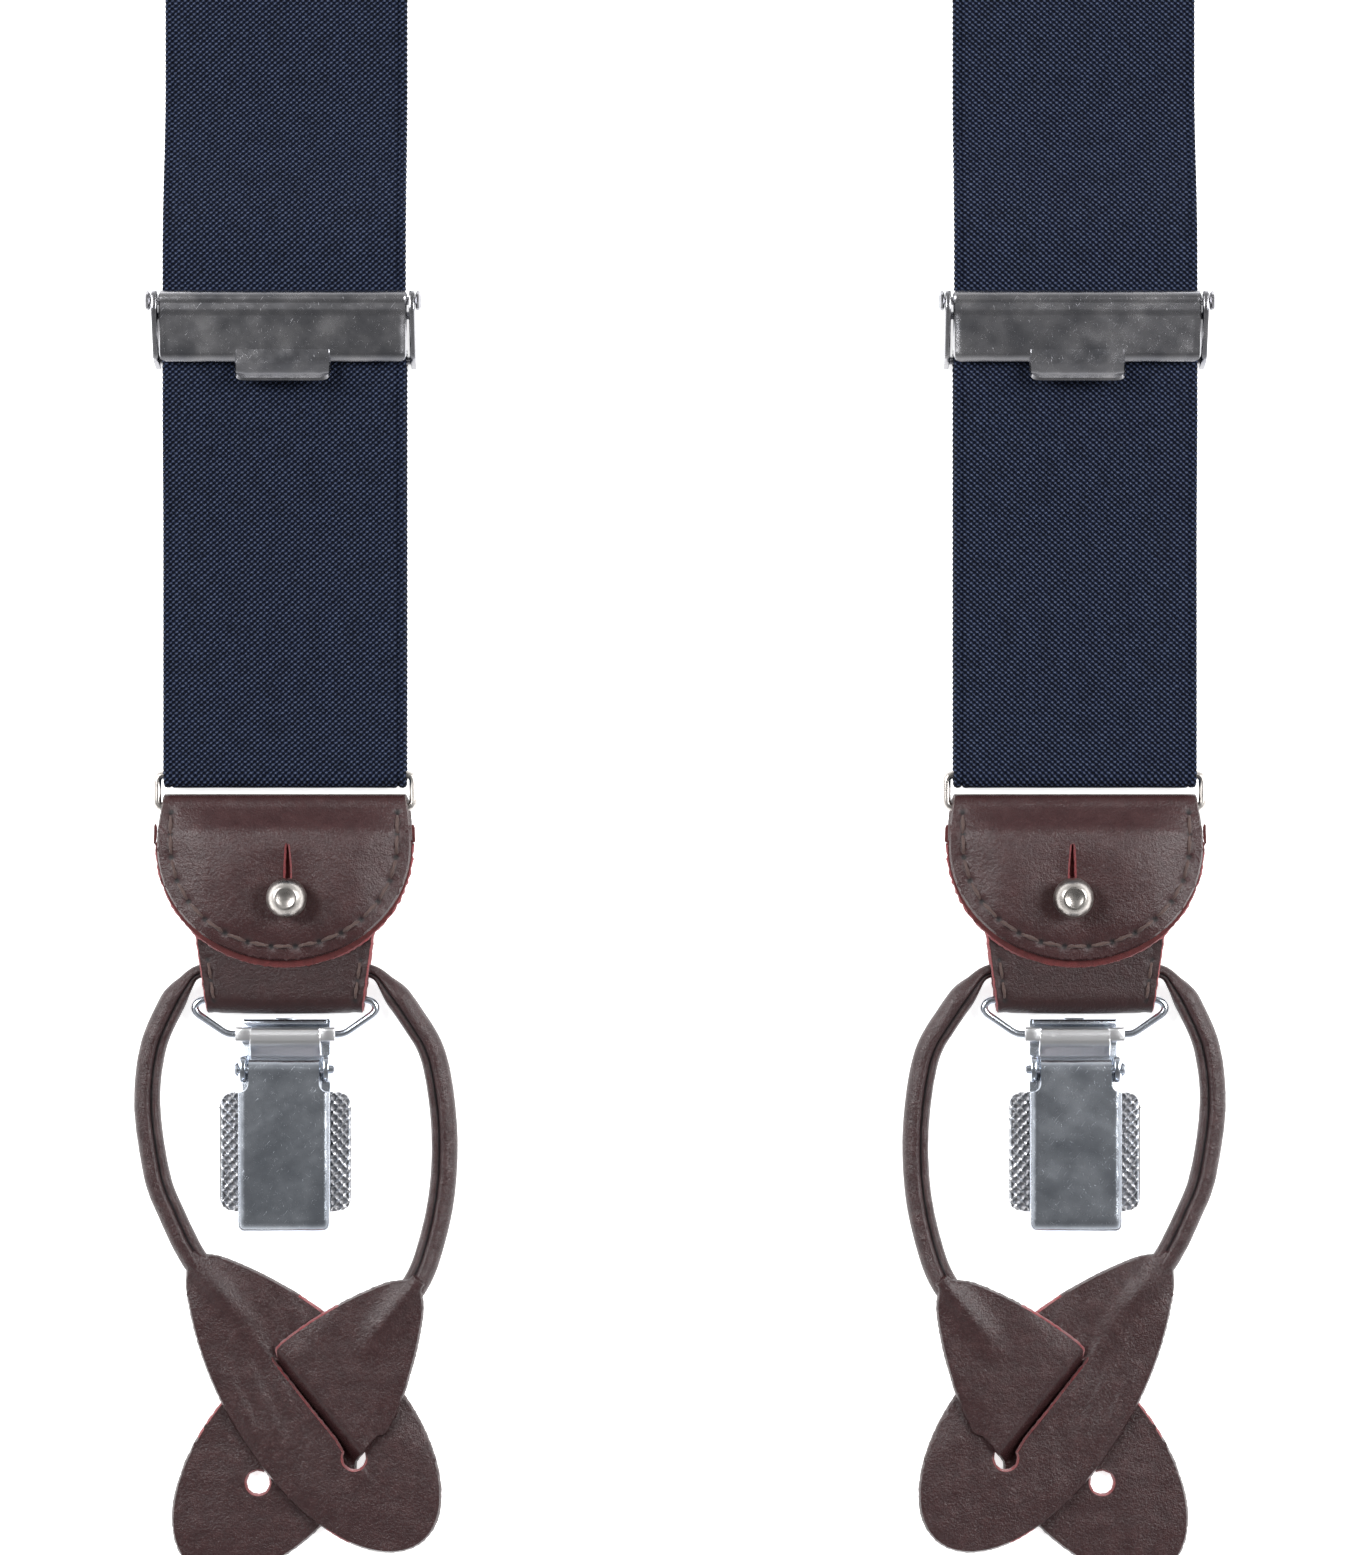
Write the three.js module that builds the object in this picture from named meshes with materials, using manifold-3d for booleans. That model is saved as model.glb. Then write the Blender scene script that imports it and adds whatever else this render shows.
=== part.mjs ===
// Y-back suspenders with wire-hung clips and leather button ends, lying flat on a table.
// Millimetres. X runs across the straps, Y along them towards the yoke, Z up from the table.
// Each strap end is built in its own frame: X across, Y up the strap, origin at its ring's middle.

import * as THREE from 'three';
import { mergeVertices } from 'three/addons/utils/BufferGeometryUtils.js';
import Module from 'manifold-3d';

const wasm = await Module();
wasm.setup();

// ---------------------------------------------------------------- driving dimensions

// Straps
const strapWidth = 35.2;
const strapThickness = 1.1;
const frontSpacing = 114;
const straightLength = 430;
const turnDegrees = 10;
const turnRadius = 260;
const backStrapLength = 190;
const backTailLength = 28;

// Clearances
const gap = 0.3;
const slip = 0.2;
const boreReach = 30;

// Leather and its lining
const leather = 1.1;
const lining = 0.7;
const liningLip = 0.35;

// Yoke
const yokeLeather = 1.5;
const yokeHeight = 62;
const yokeMargin = 3.5;
const yokeCorner = 6;
const yokeOverlap = 16;

// Ring between strap and tab
const ringWire = 1.1;
const ringCorner = 0.85;
const foldDistance = 0.8;

// Half-moon tab
const tabMargin = 0.7;
const tabWidth = strapWidth + 2 * tabMargin;
const tabDepth = 24.4;
const tabShoulder = 8;
const tabBackDepth = 20.4;
const slitLength = 4.7;
const slitWidth = 0.6;

// Ball stud
const studX = 0.7;
const studY = -15.3;
const studShank = 2.4;
const ballDiameter = 5.85;
const ballFacet = 3.4;
const capDiameter = 9;
const capThickness = 0.5;

// Hanger
const hangerTop = -9;
const hangerBottom = -32.1;
const hangerFoldWidth = 22.5;
const hangerTaper = 0.287;
const hangerMaxWidth = 27;
const hangerFoldRadius = 1.25;
const hangerUpperBend = -18;
const hangerLowerBend = -24;
const cordClear = 1.8;

// Clip
const clipWire = 1.1;
const clipWireWidth = 27.4;
const clipSheet = 0.7;
const earY = -35.15;
const earWidth = 14.4;
const earWall = 0.4;
const neckWidth = 10.3;
const wingWidth = 19.3;
const wingTop = -43.5;
const wingBottom = -60.8;
const wingCorner = 2.5;
const cheekInner = 5.6;
const cheekThickness = 0.8;
const cheekHalfLength = 1.9;
const leverPinY = -40.1;
const leverPinZ = 4.3;
const leverPinRadius = 0.6;
const leverPinHead = 1.0;
const leverPinLength = 14.4;
const leverWidth = 13.3;
const leverBottom = -63.5;
const leverTopZ = 5.9;
const leverEarRadius = 1.5;

// Leather button end: a rolled cord with a leaf at each end
const cordDiameter = 3.8;
const cordY = -25.8;
const leafThickness = 1.4;
const leafLength = 52.7;
const leafHalfWidth = 11.4;
const leafWidestAt = 32;
const leafStem = 2.0;
const buttonholeAt = 37;
const buttonholeDiameter = 3.3;
const slotStart = 18.4;
const slotWidth = 4.0;
const slotHalfSpan = 7.3;
const diveRun = 3.6;

// Adjuster
const adjusterPinY = 70.4;
const coverBottom = 62.0;
const tongueBottom = 59.2;
const tongueWidth = 13.7;
const coverMargin = 0.2;
const coverWidth = strapWidth + 2 * coverMargin;
const coverSheet = 0.8;
const cheekPlate = 0.8;
const adjusterBar = 1.2;
const lowerBarY = 62.2;
const upperBarY = 68.6;
const adjusterPinRadius = 0.6;
const knobDiameter = 2.9;
const knobLength = 0.8;
const barrelRadius = 1.3;
const sewnTail = 8.2;

// ---------------------------------------------------------------- levels worked out from them

const backLeatherZ = capThickness;
const backLiningZ = backLeatherZ + leather;
const hangerBackZ = backLiningZ + lining + slip;
const hangerFrontZ = hangerBackZ + leather + slip / 2;
const frontLiningZ = hangerFrontZ + leather + slip;
const frontLeatherZ = frontLiningZ + lining;
const tabTopZ = frontLeatherZ + leather;

const loopInner = ringWire / 2 + gap;
const strapLoop = loopInner + strapThickness / 2;
const tabLoop = loopInner + leather / 2;
const ringZ = backLeatherZ + leather + loopInner;
const strapBarY = foldDistance / 2 + strapLoop + strapThickness / 2;
const tabBarY = -(foldDistance / 2 + tabLoop + leather / 2);

const hangerFoldZ = leather + hangerFoldRadius;
const hangerFoldY = hangerBottom + hangerFoldRadius + leather;
const clipBarY = hangerFoldY - (hangerFoldRadius - clipWire / 2 - gap);
const earRadius = clipWire / 2 + slip + earWall;

const tailZ = strapThickness + 2 * gap + adjusterBar;
const mainZ = tailZ + strapThickness + gap + strapThickness / 2;
const adjusterBarZ = strapThickness + gap + adjusterBar / 2;
const adjusterPinZ = mainZ + strapThickness / 2 + gap + barrelRadius;
const cheekX = coverWidth / 2 + gap;

const turn = THREE.MathUtils.degToRad(turnDegrees);
const middleGap = 0.5;
const turnShift = turnRadius * (1 - Math.cos(turn));
const slantEndX = (strapWidth / 2) * Math.cos(turn) + middleGap;
const slantLength = (frontSpacing / 2 - slantEndX - turnShift) / Math.sin(turn);
const strapEndY = straightLength + turnRadius * Math.sin(turn) + slantLength * Math.cos(turn);
const yokeBottom = strapEndY - yokeOverlap;
const yokeTop = yokeBottom + yokeHeight;
const backRingY = yokeTop + backStrapLength;
const yokeStrapZ = yokeLeather + gap + strapThickness / 2;

// ---------------------------------------------------------------- materials

function finish(color, roughness, metalness) {
  return new THREE.MeshStandardMaterial({ color, roughness, metalness });
}

const webbing = finish(0x1b2540, 0.85, 0);
const brownLeather = finish(0x33211f, 0.5, 0);
const redLeather = finish(0x7c2a22, 0.8, 0);
const nickel = finish(0xb8b6b0, 0.3, 1);
const darkChrome = finish(0x6d7178, 0.28, 1);
const steel = finish(0x8b93a0, 0.32, 1);

// ---------------------------------------------------------------- solids

function solid(geometry) {
  const plain = geometry.clone();
  plain.deleteAttribute('normal');
  plain.deleteAttribute('uv');
  const merged = mergeVertices(plain, 1e-5);
  const vertProperties = new Float32Array(merged.attributes.position.array);
  const triVerts = new Uint32Array(merged.index.array);
  return new wasm.Manifold(new wasm.Mesh({ numProp: 3, vertProperties, triVerts }));
}

function surface(manifold) {
  const mesh = manifold.getMesh();
  const geometry = new THREE.BufferGeometry();
  geometry.setAttribute('position', new THREE.BufferAttribute(new Float32Array(mesh.vertProperties), 3));
  geometry.setIndex(new THREE.BufferAttribute(new Uint32Array(mesh.triVerts), 1));
  geometry.computeVertexNormals();
  return geometry;
}

function joined(...geometries) {
  return surface(geometries.map(solid).reduce((whole, next) => whole.add(next)));
}

function cut(geometry, ...tools) {
  return surface(tools.map(solid).reduce((whole, next) => whole.subtract(next), solid(geometry)));
}

function common(a, b) {
  return surface(solid(a).intersect(solid(b)));
}

function box(x0, x1, y0, y1, z0, z1) {
  const geometry = new THREE.BoxGeometry(x1 - x0, y1 - y0, z1 - z0);
  return geometry.translate((x0 + x1) / 2, (y0 + y1) / 2, (z0 + z1) / 2);
}

function plate(shape, z0, thickness, curveSegments = 12) {
  const options = { depth: thickness, bevelEnabled: false, curveSegments };
  return new THREE.ExtrudeGeometry(shape, options).translate(0, 0, z0);
}

// A round bar along X.
function barX(x0, x1, y, z, radius, sides = 12) {
  const geometry = new THREE.CylinderGeometry(radius, radius, x1 - x0, sides);
  return geometry.rotateZ(Math.PI / 2).translate((x0 + x1) / 2, y, z);
}

// A round post along Z.
function post(x, y, z0, z1, radius, sides = 16) {
  const geometry = new THREE.CylinderGeometry(radius, radius, z1 - z0, sides);
  return geometry.rotateX(Math.PI / 2).translate(x, y, (z0 + z1) / 2);
}

// A curve that visits each of its points in turn, with one step between neighbours.
class Route extends THREE.Curve {
  constructor(points) {
    super();
    this.points = points;
  }
  getUtoTmapping(u) {
    return u;
  }
  getPoint(t, target = new THREE.Vector3()) {
    const last = this.points.length - 1;
    const place = t * last;
    const index = Math.min(Math.floor(place), last - 1);
    return target.lerpVectors(this.points[index], this.points[index + 1], place - index);
  }
}

function roundWire(points, radius, sides = 8) {
  const section = new THREE.Shape();
  for (let i = 0; i < sides; i += 1) {
    const angle = (i / sides) * 2 * Math.PI;
    const corner = [radius * Math.cos(angle), radius * Math.sin(angle)];
    if (i === 0) section.moveTo(...corner);
    else section.lineTo(...corner);
  }
  const options = { steps: points.length - 1, extrudePath: new Route(points), bevelEnabled: false };
  return new THREE.ExtrudeGeometry(section, options);
}

// Points on an arc in any plane that has axes a and b, from one angle to another in degrees.
function arc(a, b, radius, from, to, steps) {
  const points = [];
  for (let i = 0; i <= steps; i += 1) {
    const angle = THREE.MathUtils.degToRad(from + ((to - from) * i) / steps);
    points.push([a + radius * Math.cos(angle), b + radius * Math.sin(angle)]);
  }
  return points;
}

// A flat strip that follows its stations. Each station has a place, the direction across
// the strip and the strip's width there.
function ribbon(stations, thickness) {
  const positions = [];
  const indices = [];
  const last = stations.length - 1;
  stations.forEach((station, i) => {
    const before = stations[Math.max(i - 1, 0)].at;
    const after = stations[Math.min(i + 1, last)].at;
    const along = after.clone().sub(before).normalize();
    const up = station.side.clone().cross(along).normalize();
    for (const [across, rise] of [[1, 1], [-1, 1], [-1, -1], [1, -1]]) {
      const corner = station.at.clone();
      corner.addScaledVector(station.side, (across * station.width) / 2);
      corner.addScaledVector(up, (rise * thickness) / 2);
      positions.push(corner.x, corner.y, corner.z);
    }
  });
  for (let i = 0; i < last; i += 1) {
    for (let k = 0; k < 4; k += 1) {
      const a = 4 * i + k;
      const b = 4 * i + ((k + 1) % 4);
      indices.push(a, a + 4, b + 4, a, b + 4, b);
    }
  }
  const end = 4 * last;
  indices.push(0, 1, 2, 0, 2, 3, end, end + 2, end + 1, end, end + 3, end + 2);
  const geometry = new THREE.BufferGeometry();
  geometry.setAttribute('position', new THREE.Float32BufferAttribute(positions, 3));
  geometry.setIndex(indices);
  geometry.computeVertexNormals();
  return geometry;
}

// Stations of a strip that bends only up and down: each point is [y, z].
function upright(points, width) {
  const side = new THREE.Vector3(1, 0, 0);
  return points.map(([y, z]) => ({
    at: new THREE.Vector3(0, y, z),
    side,
    width: typeof width === 'function' ? width(y) : width,
  }));
}

function roundedPolygon(corners, radius) {
  const shape = new THREE.Shape();
  corners.forEach((corner, i) => {
    const before = corners[(i + corners.length - 1) % corners.length];
    const after = corners[(i + 1) % corners.length];
    const enter = corner.clone().add(before.clone().sub(corner).setLength(radius));
    const leave = corner.clone().add(after.clone().sub(corner).setLength(radius));
    if (i === 0) shape.moveTo(enter.x, enter.y);
    else shape.lineTo(enter.x, enter.y);
    shape.quadraticCurveTo(corner.x, corner.y, leave.x, leave.y);
  });
  shape.closePath();
  return shape;
}

function piece(name, geometry, material) {
  const mesh = new THREE.Mesh(geometry, material);
  mesh.name = name;
  return mesh;
}

// ---------------------------------------------------------------- straps

// The strap's end: down to the ring, round its bar and up behind to the adjuster's lower bar.
function frontLowerPath() {
  const rise = 16;
  return [
    [adjusterPinY + 2 * rise, strapThickness / 2],
    [adjusterPinY + 1.4 * rise, strapThickness / 2 + gap],
    [adjusterPinY + 0.4 * rise, mainZ],
    [lowerBarY - sewnTail - gap, mainZ],
    [lowerBarY - sewnTail - rise, ringZ + strapLoop],
    ...arc(strapBarY, ringZ, strapLoop, 90, 270, 8),
    [strapBarY + rise, strapThickness / 2],
    ...arc(lowerBarY, adjusterBarZ, gap + adjusterBar / 2 + strapThickness / 2, -90, 90, 8),
    [lowerBarY - sewnTail, tailZ + strapThickness / 2],
  ];
}

// The strap's upper length: out of the yoke, slanting outwards, then turning straight down.
function frontUpperStations() {
  const stations = [];
  const slantX = turnShift + slantLength * Math.sin(turn);
  const down = new THREE.Vector3(-Math.sin(turn), -Math.cos(turn), 0);
  const slantSide = new THREE.Vector3(Math.cos(turn), -Math.sin(turn), 0);
  const clear = yokeOverlap + 2;
  const heights = [[0, yokeStrapZ], [clear, yokeStrapZ], [2 * clear, strapThickness / 2]];
  for (const [along, z] of heights) {
    const at = new THREE.Vector3(slantX, strapEndY, z).addScaledVector(down, along);
    stations.push({ at, side: slantSide, width: strapWidth });
  }
  const turnSteps = 8;
  for (let i = 0; i <= turnSteps; i += 1) {
    const angle = turn * (1 - i / turnSteps);
    const x = turnRadius * (1 - Math.cos(angle));
    const y = straightLength + turnRadius * Math.sin(angle);
    const side = new THREE.Vector3(Math.cos(angle), -Math.sin(angle), 0);
    stations.push({ at: new THREE.Vector3(x, y, strapThickness / 2), side, width: strapWidth });
  }
  return stations;
}

function frontStrap() {
  const stations = [...frontUpperStations(), ...upright(frontLowerPath(), strapWidth)];
  return ribbon(stations, strapThickness);
}

function backStrap() {
  const path = [
    [backStrapLength + yokeOverlap, yokeStrapZ],
    [backStrapLength - 2, yokeStrapZ],
    [backStrapLength - yokeOverlap, strapThickness / 2],
    [1.7 * backTailLength, strapThickness / 2],
    [1.1 * backTailLength, 1.5 * strapThickness + gap],
    ...arc(strapBarY, ringZ, strapLoop, 90, 270, 8),
    [backTailLength / 2, strapThickness / 2],
    [backTailLength, strapThickness / 2],
  ];
  return ribbon(upright(path, strapWidth), strapThickness);
}

// ---------------------------------------------------------------- yoke

function yokeOutline() {
  const slope = Math.tan(turn);
  const low = slantEndX + yokeOverlap * slope + strapWidth / 2 + yokeMargin;
  const high = strapWidth / 2 + yokeMargin;
  const corners = [[-low, yokeBottom], [low, yokeBottom], [high, yokeTop], [-high, yokeTop]];
  return roundedPolygon(corners.map(([x, y]) => new THREE.Vector2(x, y)), yokeCorner);
}

function yokePieces() {
  const frontZ = yokeLeather + 2 * gap + strapThickness;
  return [
    piece('yoke_back_leather', plate(yokeOutline(), 0, yokeLeather, 5), brownLeather),
    piece('yoke_front_leather', plate(yokeOutline(), frontZ, yokeLeather, 5), brownLeather),
  ];
}

// ---------------------------------------------------------------- adjuster

function adjusterCheek(sign) {
  const footZ = 0.4;
  const lowerReach = 2.2;
  const upperReach = 2.4;
  const noseReach = 1.9;
  const noseRise = 0.6;
  const backReach = 1.2;
  const crownRise = 1.4;
  const corner = 0.8;
  const outline = roundedPolygon([
    new THREE.Vector2(lowerBarY - lowerReach, footZ),
    new THREE.Vector2(upperBarY + upperReach, footZ),
    new THREE.Vector2(adjusterPinY + noseReach, adjusterPinZ + noseRise),
    new THREE.Vector2(adjusterPinY - backReach, adjusterPinZ + crownRise),
    new THREE.Vector2(lowerBarY - backReach, mainZ + backReach),
  ], corner);
  const cheek = plate(outline, 0, cheekPlate, 3);
  cheek.rotateX(Math.PI / 2).rotateZ(Math.PI / 2);
  return cheek.translate(sign * (cheekX + cheekPlate / 2) - cheekPlate / 2, 0, 0);
}

function adjusterFrame() {
  const reach = cheekX + cheekPlate / 2;
  const upperBarZ = mainZ - strapThickness / 2 - gap - adjusterBar / 2;
  const frame = joined(
    adjusterCheek(-1),
    adjusterCheek(1),
    barX(-reach, reach, lowerBarY, adjusterBarZ, adjusterBar / 2),
    barX(-reach, reach, upperBarY, upperBarZ, adjusterBar / 2),
  );
  const bore = adjusterPinRadius + slip;
  return cut(frame, barX(-boreReach, boreReach, adjusterPinY, adjusterPinZ, bore));
}

function adjusterPin() {
  const tip = cheekX + cheekPlate + gap / 2;
  const shaft = barX(-tip - knobLength / 2, tip + knobLength / 2, adjusterPinY, adjusterPinZ, adjusterPinRadius);
  const knobs = [-1, 1].map((sign) => {
    const inner = sign * tip;
    const outer = sign * (tip + knobLength);
    return barX(Math.min(inner, outer), Math.max(inner, outer), adjusterPinY, adjusterPinZ, knobDiameter / 2);
  });
  return joined(shaft, ...knobs);
}

// The cover: a bent plate that hangs on the pin, with a lip that bites the strap and a thumb tongue.
function adjusterCover() {
  const half = coverWidth / 2;
  const barrelShow = 0.2;
  const flatRun = 1.4;
  const slopeDrop = 0.5;
  const edgeRun = 0.6;
  const edgeDrop = 1.1;
  const tongueLap = 1.5;
  const tongueNeck = 0.8;
  const tongueDip = 0.3;
  const curlRun = 0.9;
  const curlStart = 0.4;
  const curlRise = 1.2;
  const lipInset = 1.5;
  const lipReach = 1.2;
  const middle = adjusterPinZ + barrelRadius - barrelShow - coverSheet / 2;
  const coverPath = [
    [adjusterPinY, middle],
    [adjusterPinY - flatRun, middle],
    [coverBottom + edgeRun, middle - slopeDrop],
    [coverBottom, middle - edgeDrop],
  ];
  const tonguePath = [
    [coverBottom + tongueLap, middle - slopeDrop],
    [coverBottom - tongueNeck, middle - tongueDip],
    [tongueBottom + curlRun, middle + curlStart],
    [tongueBottom, middle + curlRise],
  ];
  const lip = box(-half + lipInset, half - lipInset, adjusterPinY - lipReach, adjusterPinY - slip,
    mainZ + strapThickness / 2 + slip, adjusterPinZ);
  const cover = joined(
    ribbon(upright(coverPath, coverWidth), coverSheet),
    ribbon(upright(tonguePath, tongueWidth), coverSheet),
    barX(-half, half, adjusterPinY, adjusterPinZ, barrelRadius, 16),
    lip,
  );
  return cut(cover, barX(-boreReach, boreReach, adjusterPinY, adjusterPinZ, adjusterPinRadius + slip));
}

// ---------------------------------------------------------------- ring

// A wire rectangle, butted at the middle of its upper bar.
function ring() {
  const halfWidth = strapWidth / 2 + gap + ringWire / 2;
  const r = ringCorner;
  const right = halfWidth - r;
  const outline = [
    [gap / 2, strapBarY],
    ...arc(right, strapBarY - r, r, 90, 0, 4),
    ...arc(right, tabBarY + r, r, 0, -90, 4),
    ...arc(-right, tabBarY + r, r, -90, -180, 4),
    ...arc(-right, strapBarY - r, r, 180, 90, 4),
    [-gap / 2, strapBarY],
  ];
  return roundWire(outline.map(([x, y]) => new THREE.Vector3(x, y, ringZ)), ringWire / 2);
}

// ---------------------------------------------------------------- tab

// A flap with straight sides and a round lower end.
function halfMoon(width, top, bottom) {
  const shape = new THREE.Shape();
  shape.moveTo(-width / 2, top);
  shape.lineTo(-width / 2, -tabShoulder);
  const depth = -tabShoulder - bottom;
  shape.absellipse(0, -tabShoulder, width / 2, depth, Math.PI, 2 * Math.PI, false, 0);
  shape.lineTo(width / 2, top);
  shape.closePath();
  return shape;
}

function studHole(z0, z1) {
  return post(studX, studY, z0, z1, studShank / 2 + gap, 12);
}

function tabSlit(z0, z1) {
  const top = studY + ballDiameter / 2 + slitLength;
  return box(studX - slitWidth / 2, studX + slitWidth / 2, studY, top, z0, z1);
}

const slopeRun = 3.6;
const slopeEnd = tabBarY - slopeRun;

function tabLeather() {
  const foldPath = [
    [slopeEnd, backLeatherZ + leather / 2],
    ...arc(tabBarY, ringZ, tabLoop, -90, 90, 8),
    [tabBarY - gap, ringZ + tabLoop],
  ];
  const frontPath = [
    [tabBarY, ringZ + tabLoop],
    [slopeEnd, frontLeatherZ + leather / 2],
    [-tabDepth - 1, frontLeatherZ + leather / 2],
  ];
  const front = common(
    ribbon(upright(frontPath, tabWidth), leather),
    plate(halfMoon(tabWidth, tabBarY - gap / 2, -tabDepth), 0, 2 * tabTopZ),
  );
  const back = plate(halfMoon(tabWidth, slopeEnd + 1, -tabBackDepth), backLeatherZ, leather);
  const whole = joined(ribbon(upright(foldPath, strapWidth), leather), front, back);
  return cut(whole, studHole(-1, 2 * tabTopZ), tabSlit(frontLeatherZ - slip, 2 * tabTopZ));
}

function tabFrontLining() {
  const outline = halfMoon(tabWidth + 2 * liningLip, slopeEnd - 1, -tabDepth - 3 * liningLip);
  const sheet = plate(outline, frontLiningZ, lining);
  return cut(sheet, studHole(-1, tabTopZ), tabSlit(-1, tabTopZ));
}

function tabBackLining() {
  const outline = halfMoon(tabWidth - 2 * liningLip, slopeEnd, -tabBackDepth + liningLip);
  return cut(plate(outline, backLiningZ, lining), studHole(-1, tabTopZ));
}

// ---------------------------------------------------------------- stud

function ballStud() {
  const radius = ballDiameter / 2;
  const shank = studShank / 2;
  const neckAngle = Math.asin(shank / radius);
  const facetAngle = Math.asin(ballFacet / ballDiameter);
  const centre = tabTopZ + slip + radius * Math.cos(neckAngle);
  const profile = [new THREE.Vector2(0, capThickness), new THREE.Vector2(shank, capThickness)];
  const steps = 8;
  for (let i = 0; i <= steps; i += 1) {
    const angle = Math.PI - neckAngle - ((Math.PI - neckAngle - facetAngle) * i) / steps;
    profile.push(new THREE.Vector2(radius * Math.sin(angle), centre + radius * Math.cos(angle)));
  }
  profile.push(new THREE.Vector2(0, centre + radius * Math.cos(facetAngle)));
  return new THREE.LatheGeometry(profile, 16).rotateX(Math.PI / 2).translate(studX, studY, 0);
}

function studCap() {
  return post(studX, studY, 0, capThickness, capDiameter / 2, 20);
}

// ---------------------------------------------------------------- hanger

function hangerWidth(y) {
  return Math.min(hangerMaxWidth, hangerFoldWidth + hangerTaper * (y - hangerBottom));
}

function hangerLeather() {
  const fold = hangerFoldRadius + leather / 2;
  const path = [
    [hangerTop, hangerFrontZ + leather / 2],
    [hangerUpperBend, hangerFrontZ + leather / 2],
    [hangerLowerBend, hangerFrontZ + leather / 2],
    ...arc(hangerFoldY, hangerFoldZ, fold, 90, 270, 8),
    [cordY + cordClear, leather / 2],
    [-tabBackDepth - gap, hangerBackZ + leather / 2],
    [hangerUpperBend, hangerBackZ + leather / 2],
    [hangerTop, hangerBackZ + leather / 2],
  ];
  return cut(ribbon(upright(path, hangerWidth), leather), studHole(-1, tabTopZ));
}

// ---------------------------------------------------------------- clip

// The wire from the hanger's fold to the clip: its two ends turn in to the clip's ears.
function clipWireLoop() {
  const half = clipWireWidth / 2 - clipWire / 2;
  const stub = 3;
  const bend = earWidth / 2 + gap + clipWire / 2;
  const corner = 1.4;
  const flareRun = 0.8;
  const flareRise = 0.3;
  const shoulderInset = 0.5;
  const shoulderDrop = 0.7;
  const side = [
    [stub, earY],
    [bend, earY],
    [bend + flareRun, earY + flareRise],
    [half - shoulderInset, clipBarY - corner - shoulderDrop],
    ...arc(half - corner, clipBarY - corner, corner, 0, 90, 4),
  ];
  const mirrored = side.map(([x, y]) => [-x, y]).reverse();
  const points = [...side, ...mirrored];
  return roundWire(points.map(([x, y]) => new THREE.Vector3(x, y, hangerFoldZ)), clipWire / 2);
}

// The front jaw: a tube for the wire's ends, a neck and two knurled wings.
function clipJaw() {
  const z = hangerFoldZ - earRadius;
  const neck = box(-neckWidth / 2, neckWidth / 2, wingTop - 1, earY, z, z + clipSheet);
  const half = wingWidth / 2;
  const corners = [[-half, wingBottom], [half, wingBottom], [half, wingTop], [-half, wingTop]];
  const outline = roundedPolygon(corners.map(([x, y]) => new THREE.Vector2(x, y)), wingCorner);
  const jaw = joined(
    barX(-earWidth / 2, earWidth / 2, earY, hangerFoldZ, earRadius, 12),
    neck,
    plate(outline, z, clipSheet, 4),
  );
  return cut(jaw, barX(-boreReach, boreReach, earY, hangerFoldZ, clipWire / 2 + slip, 12));
}

// The back plate: it lies behind the jaw, hooks over its tube and carries the lever's pin.
function clipBackPlate() {
  const lipY = earY + earRadius + gap;
  const lipWidth = 12;
  const lipRise = 0.4;
  const corner = 0.35;
  const half = wingWidth / 2 - 1;
  const shoulder = wingTop + 1;
  const outline = roundedPolygon([
    new THREE.Vector2(-half, wingBottom - 1),
    new THREE.Vector2(half, wingBottom - 1),
    new THREE.Vector2(half, shoulder),
    new THREE.Vector2(cheekInner + cheekThickness, shoulder),
    new THREE.Vector2(cheekInner + cheekThickness, lipY + clipSheet),
    new THREE.Vector2(-cheekInner - cheekThickness, lipY + clipSheet),
    new THREE.Vector2(-cheekInner - cheekThickness, shoulder),
    new THREE.Vector2(-half, shoulder),
  ], corner);
  const cheeks = [-1, 1].map((sign) => {
    const a = sign * cheekInner;
    const b = sign * (cheekInner + cheekThickness);
    return box(Math.min(a, b), Math.max(a, b), leverPinY - cheekHalfLength, leverPinY + cheekHalfLength,
      0, leverPinZ + leverPinHead);
  });
  const lip = box(-lipWidth / 2, lipWidth / 2, lipY, lipY + clipSheet, 0, hangerFoldZ + lipRise);
  const body = joined(plate(outline, 0, clipSheet, 3), ...cheeks, lip);
  return cut(body, barX(-boreReach, boreReach, leverPinY, leverPinZ, leverPinRadius + slip));
}

function clipPin() {
  const half = leverPinLength / 2;
  const headLap = 0.1;
  const head = barX(-half, -cheekInner - cheekThickness - slip, leverPinY, leverPinZ, leverPinHead);
  return joined(head, barX(-half + headLap, half, leverPinY, leverPinZ, leverPinRadius));
}

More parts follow.
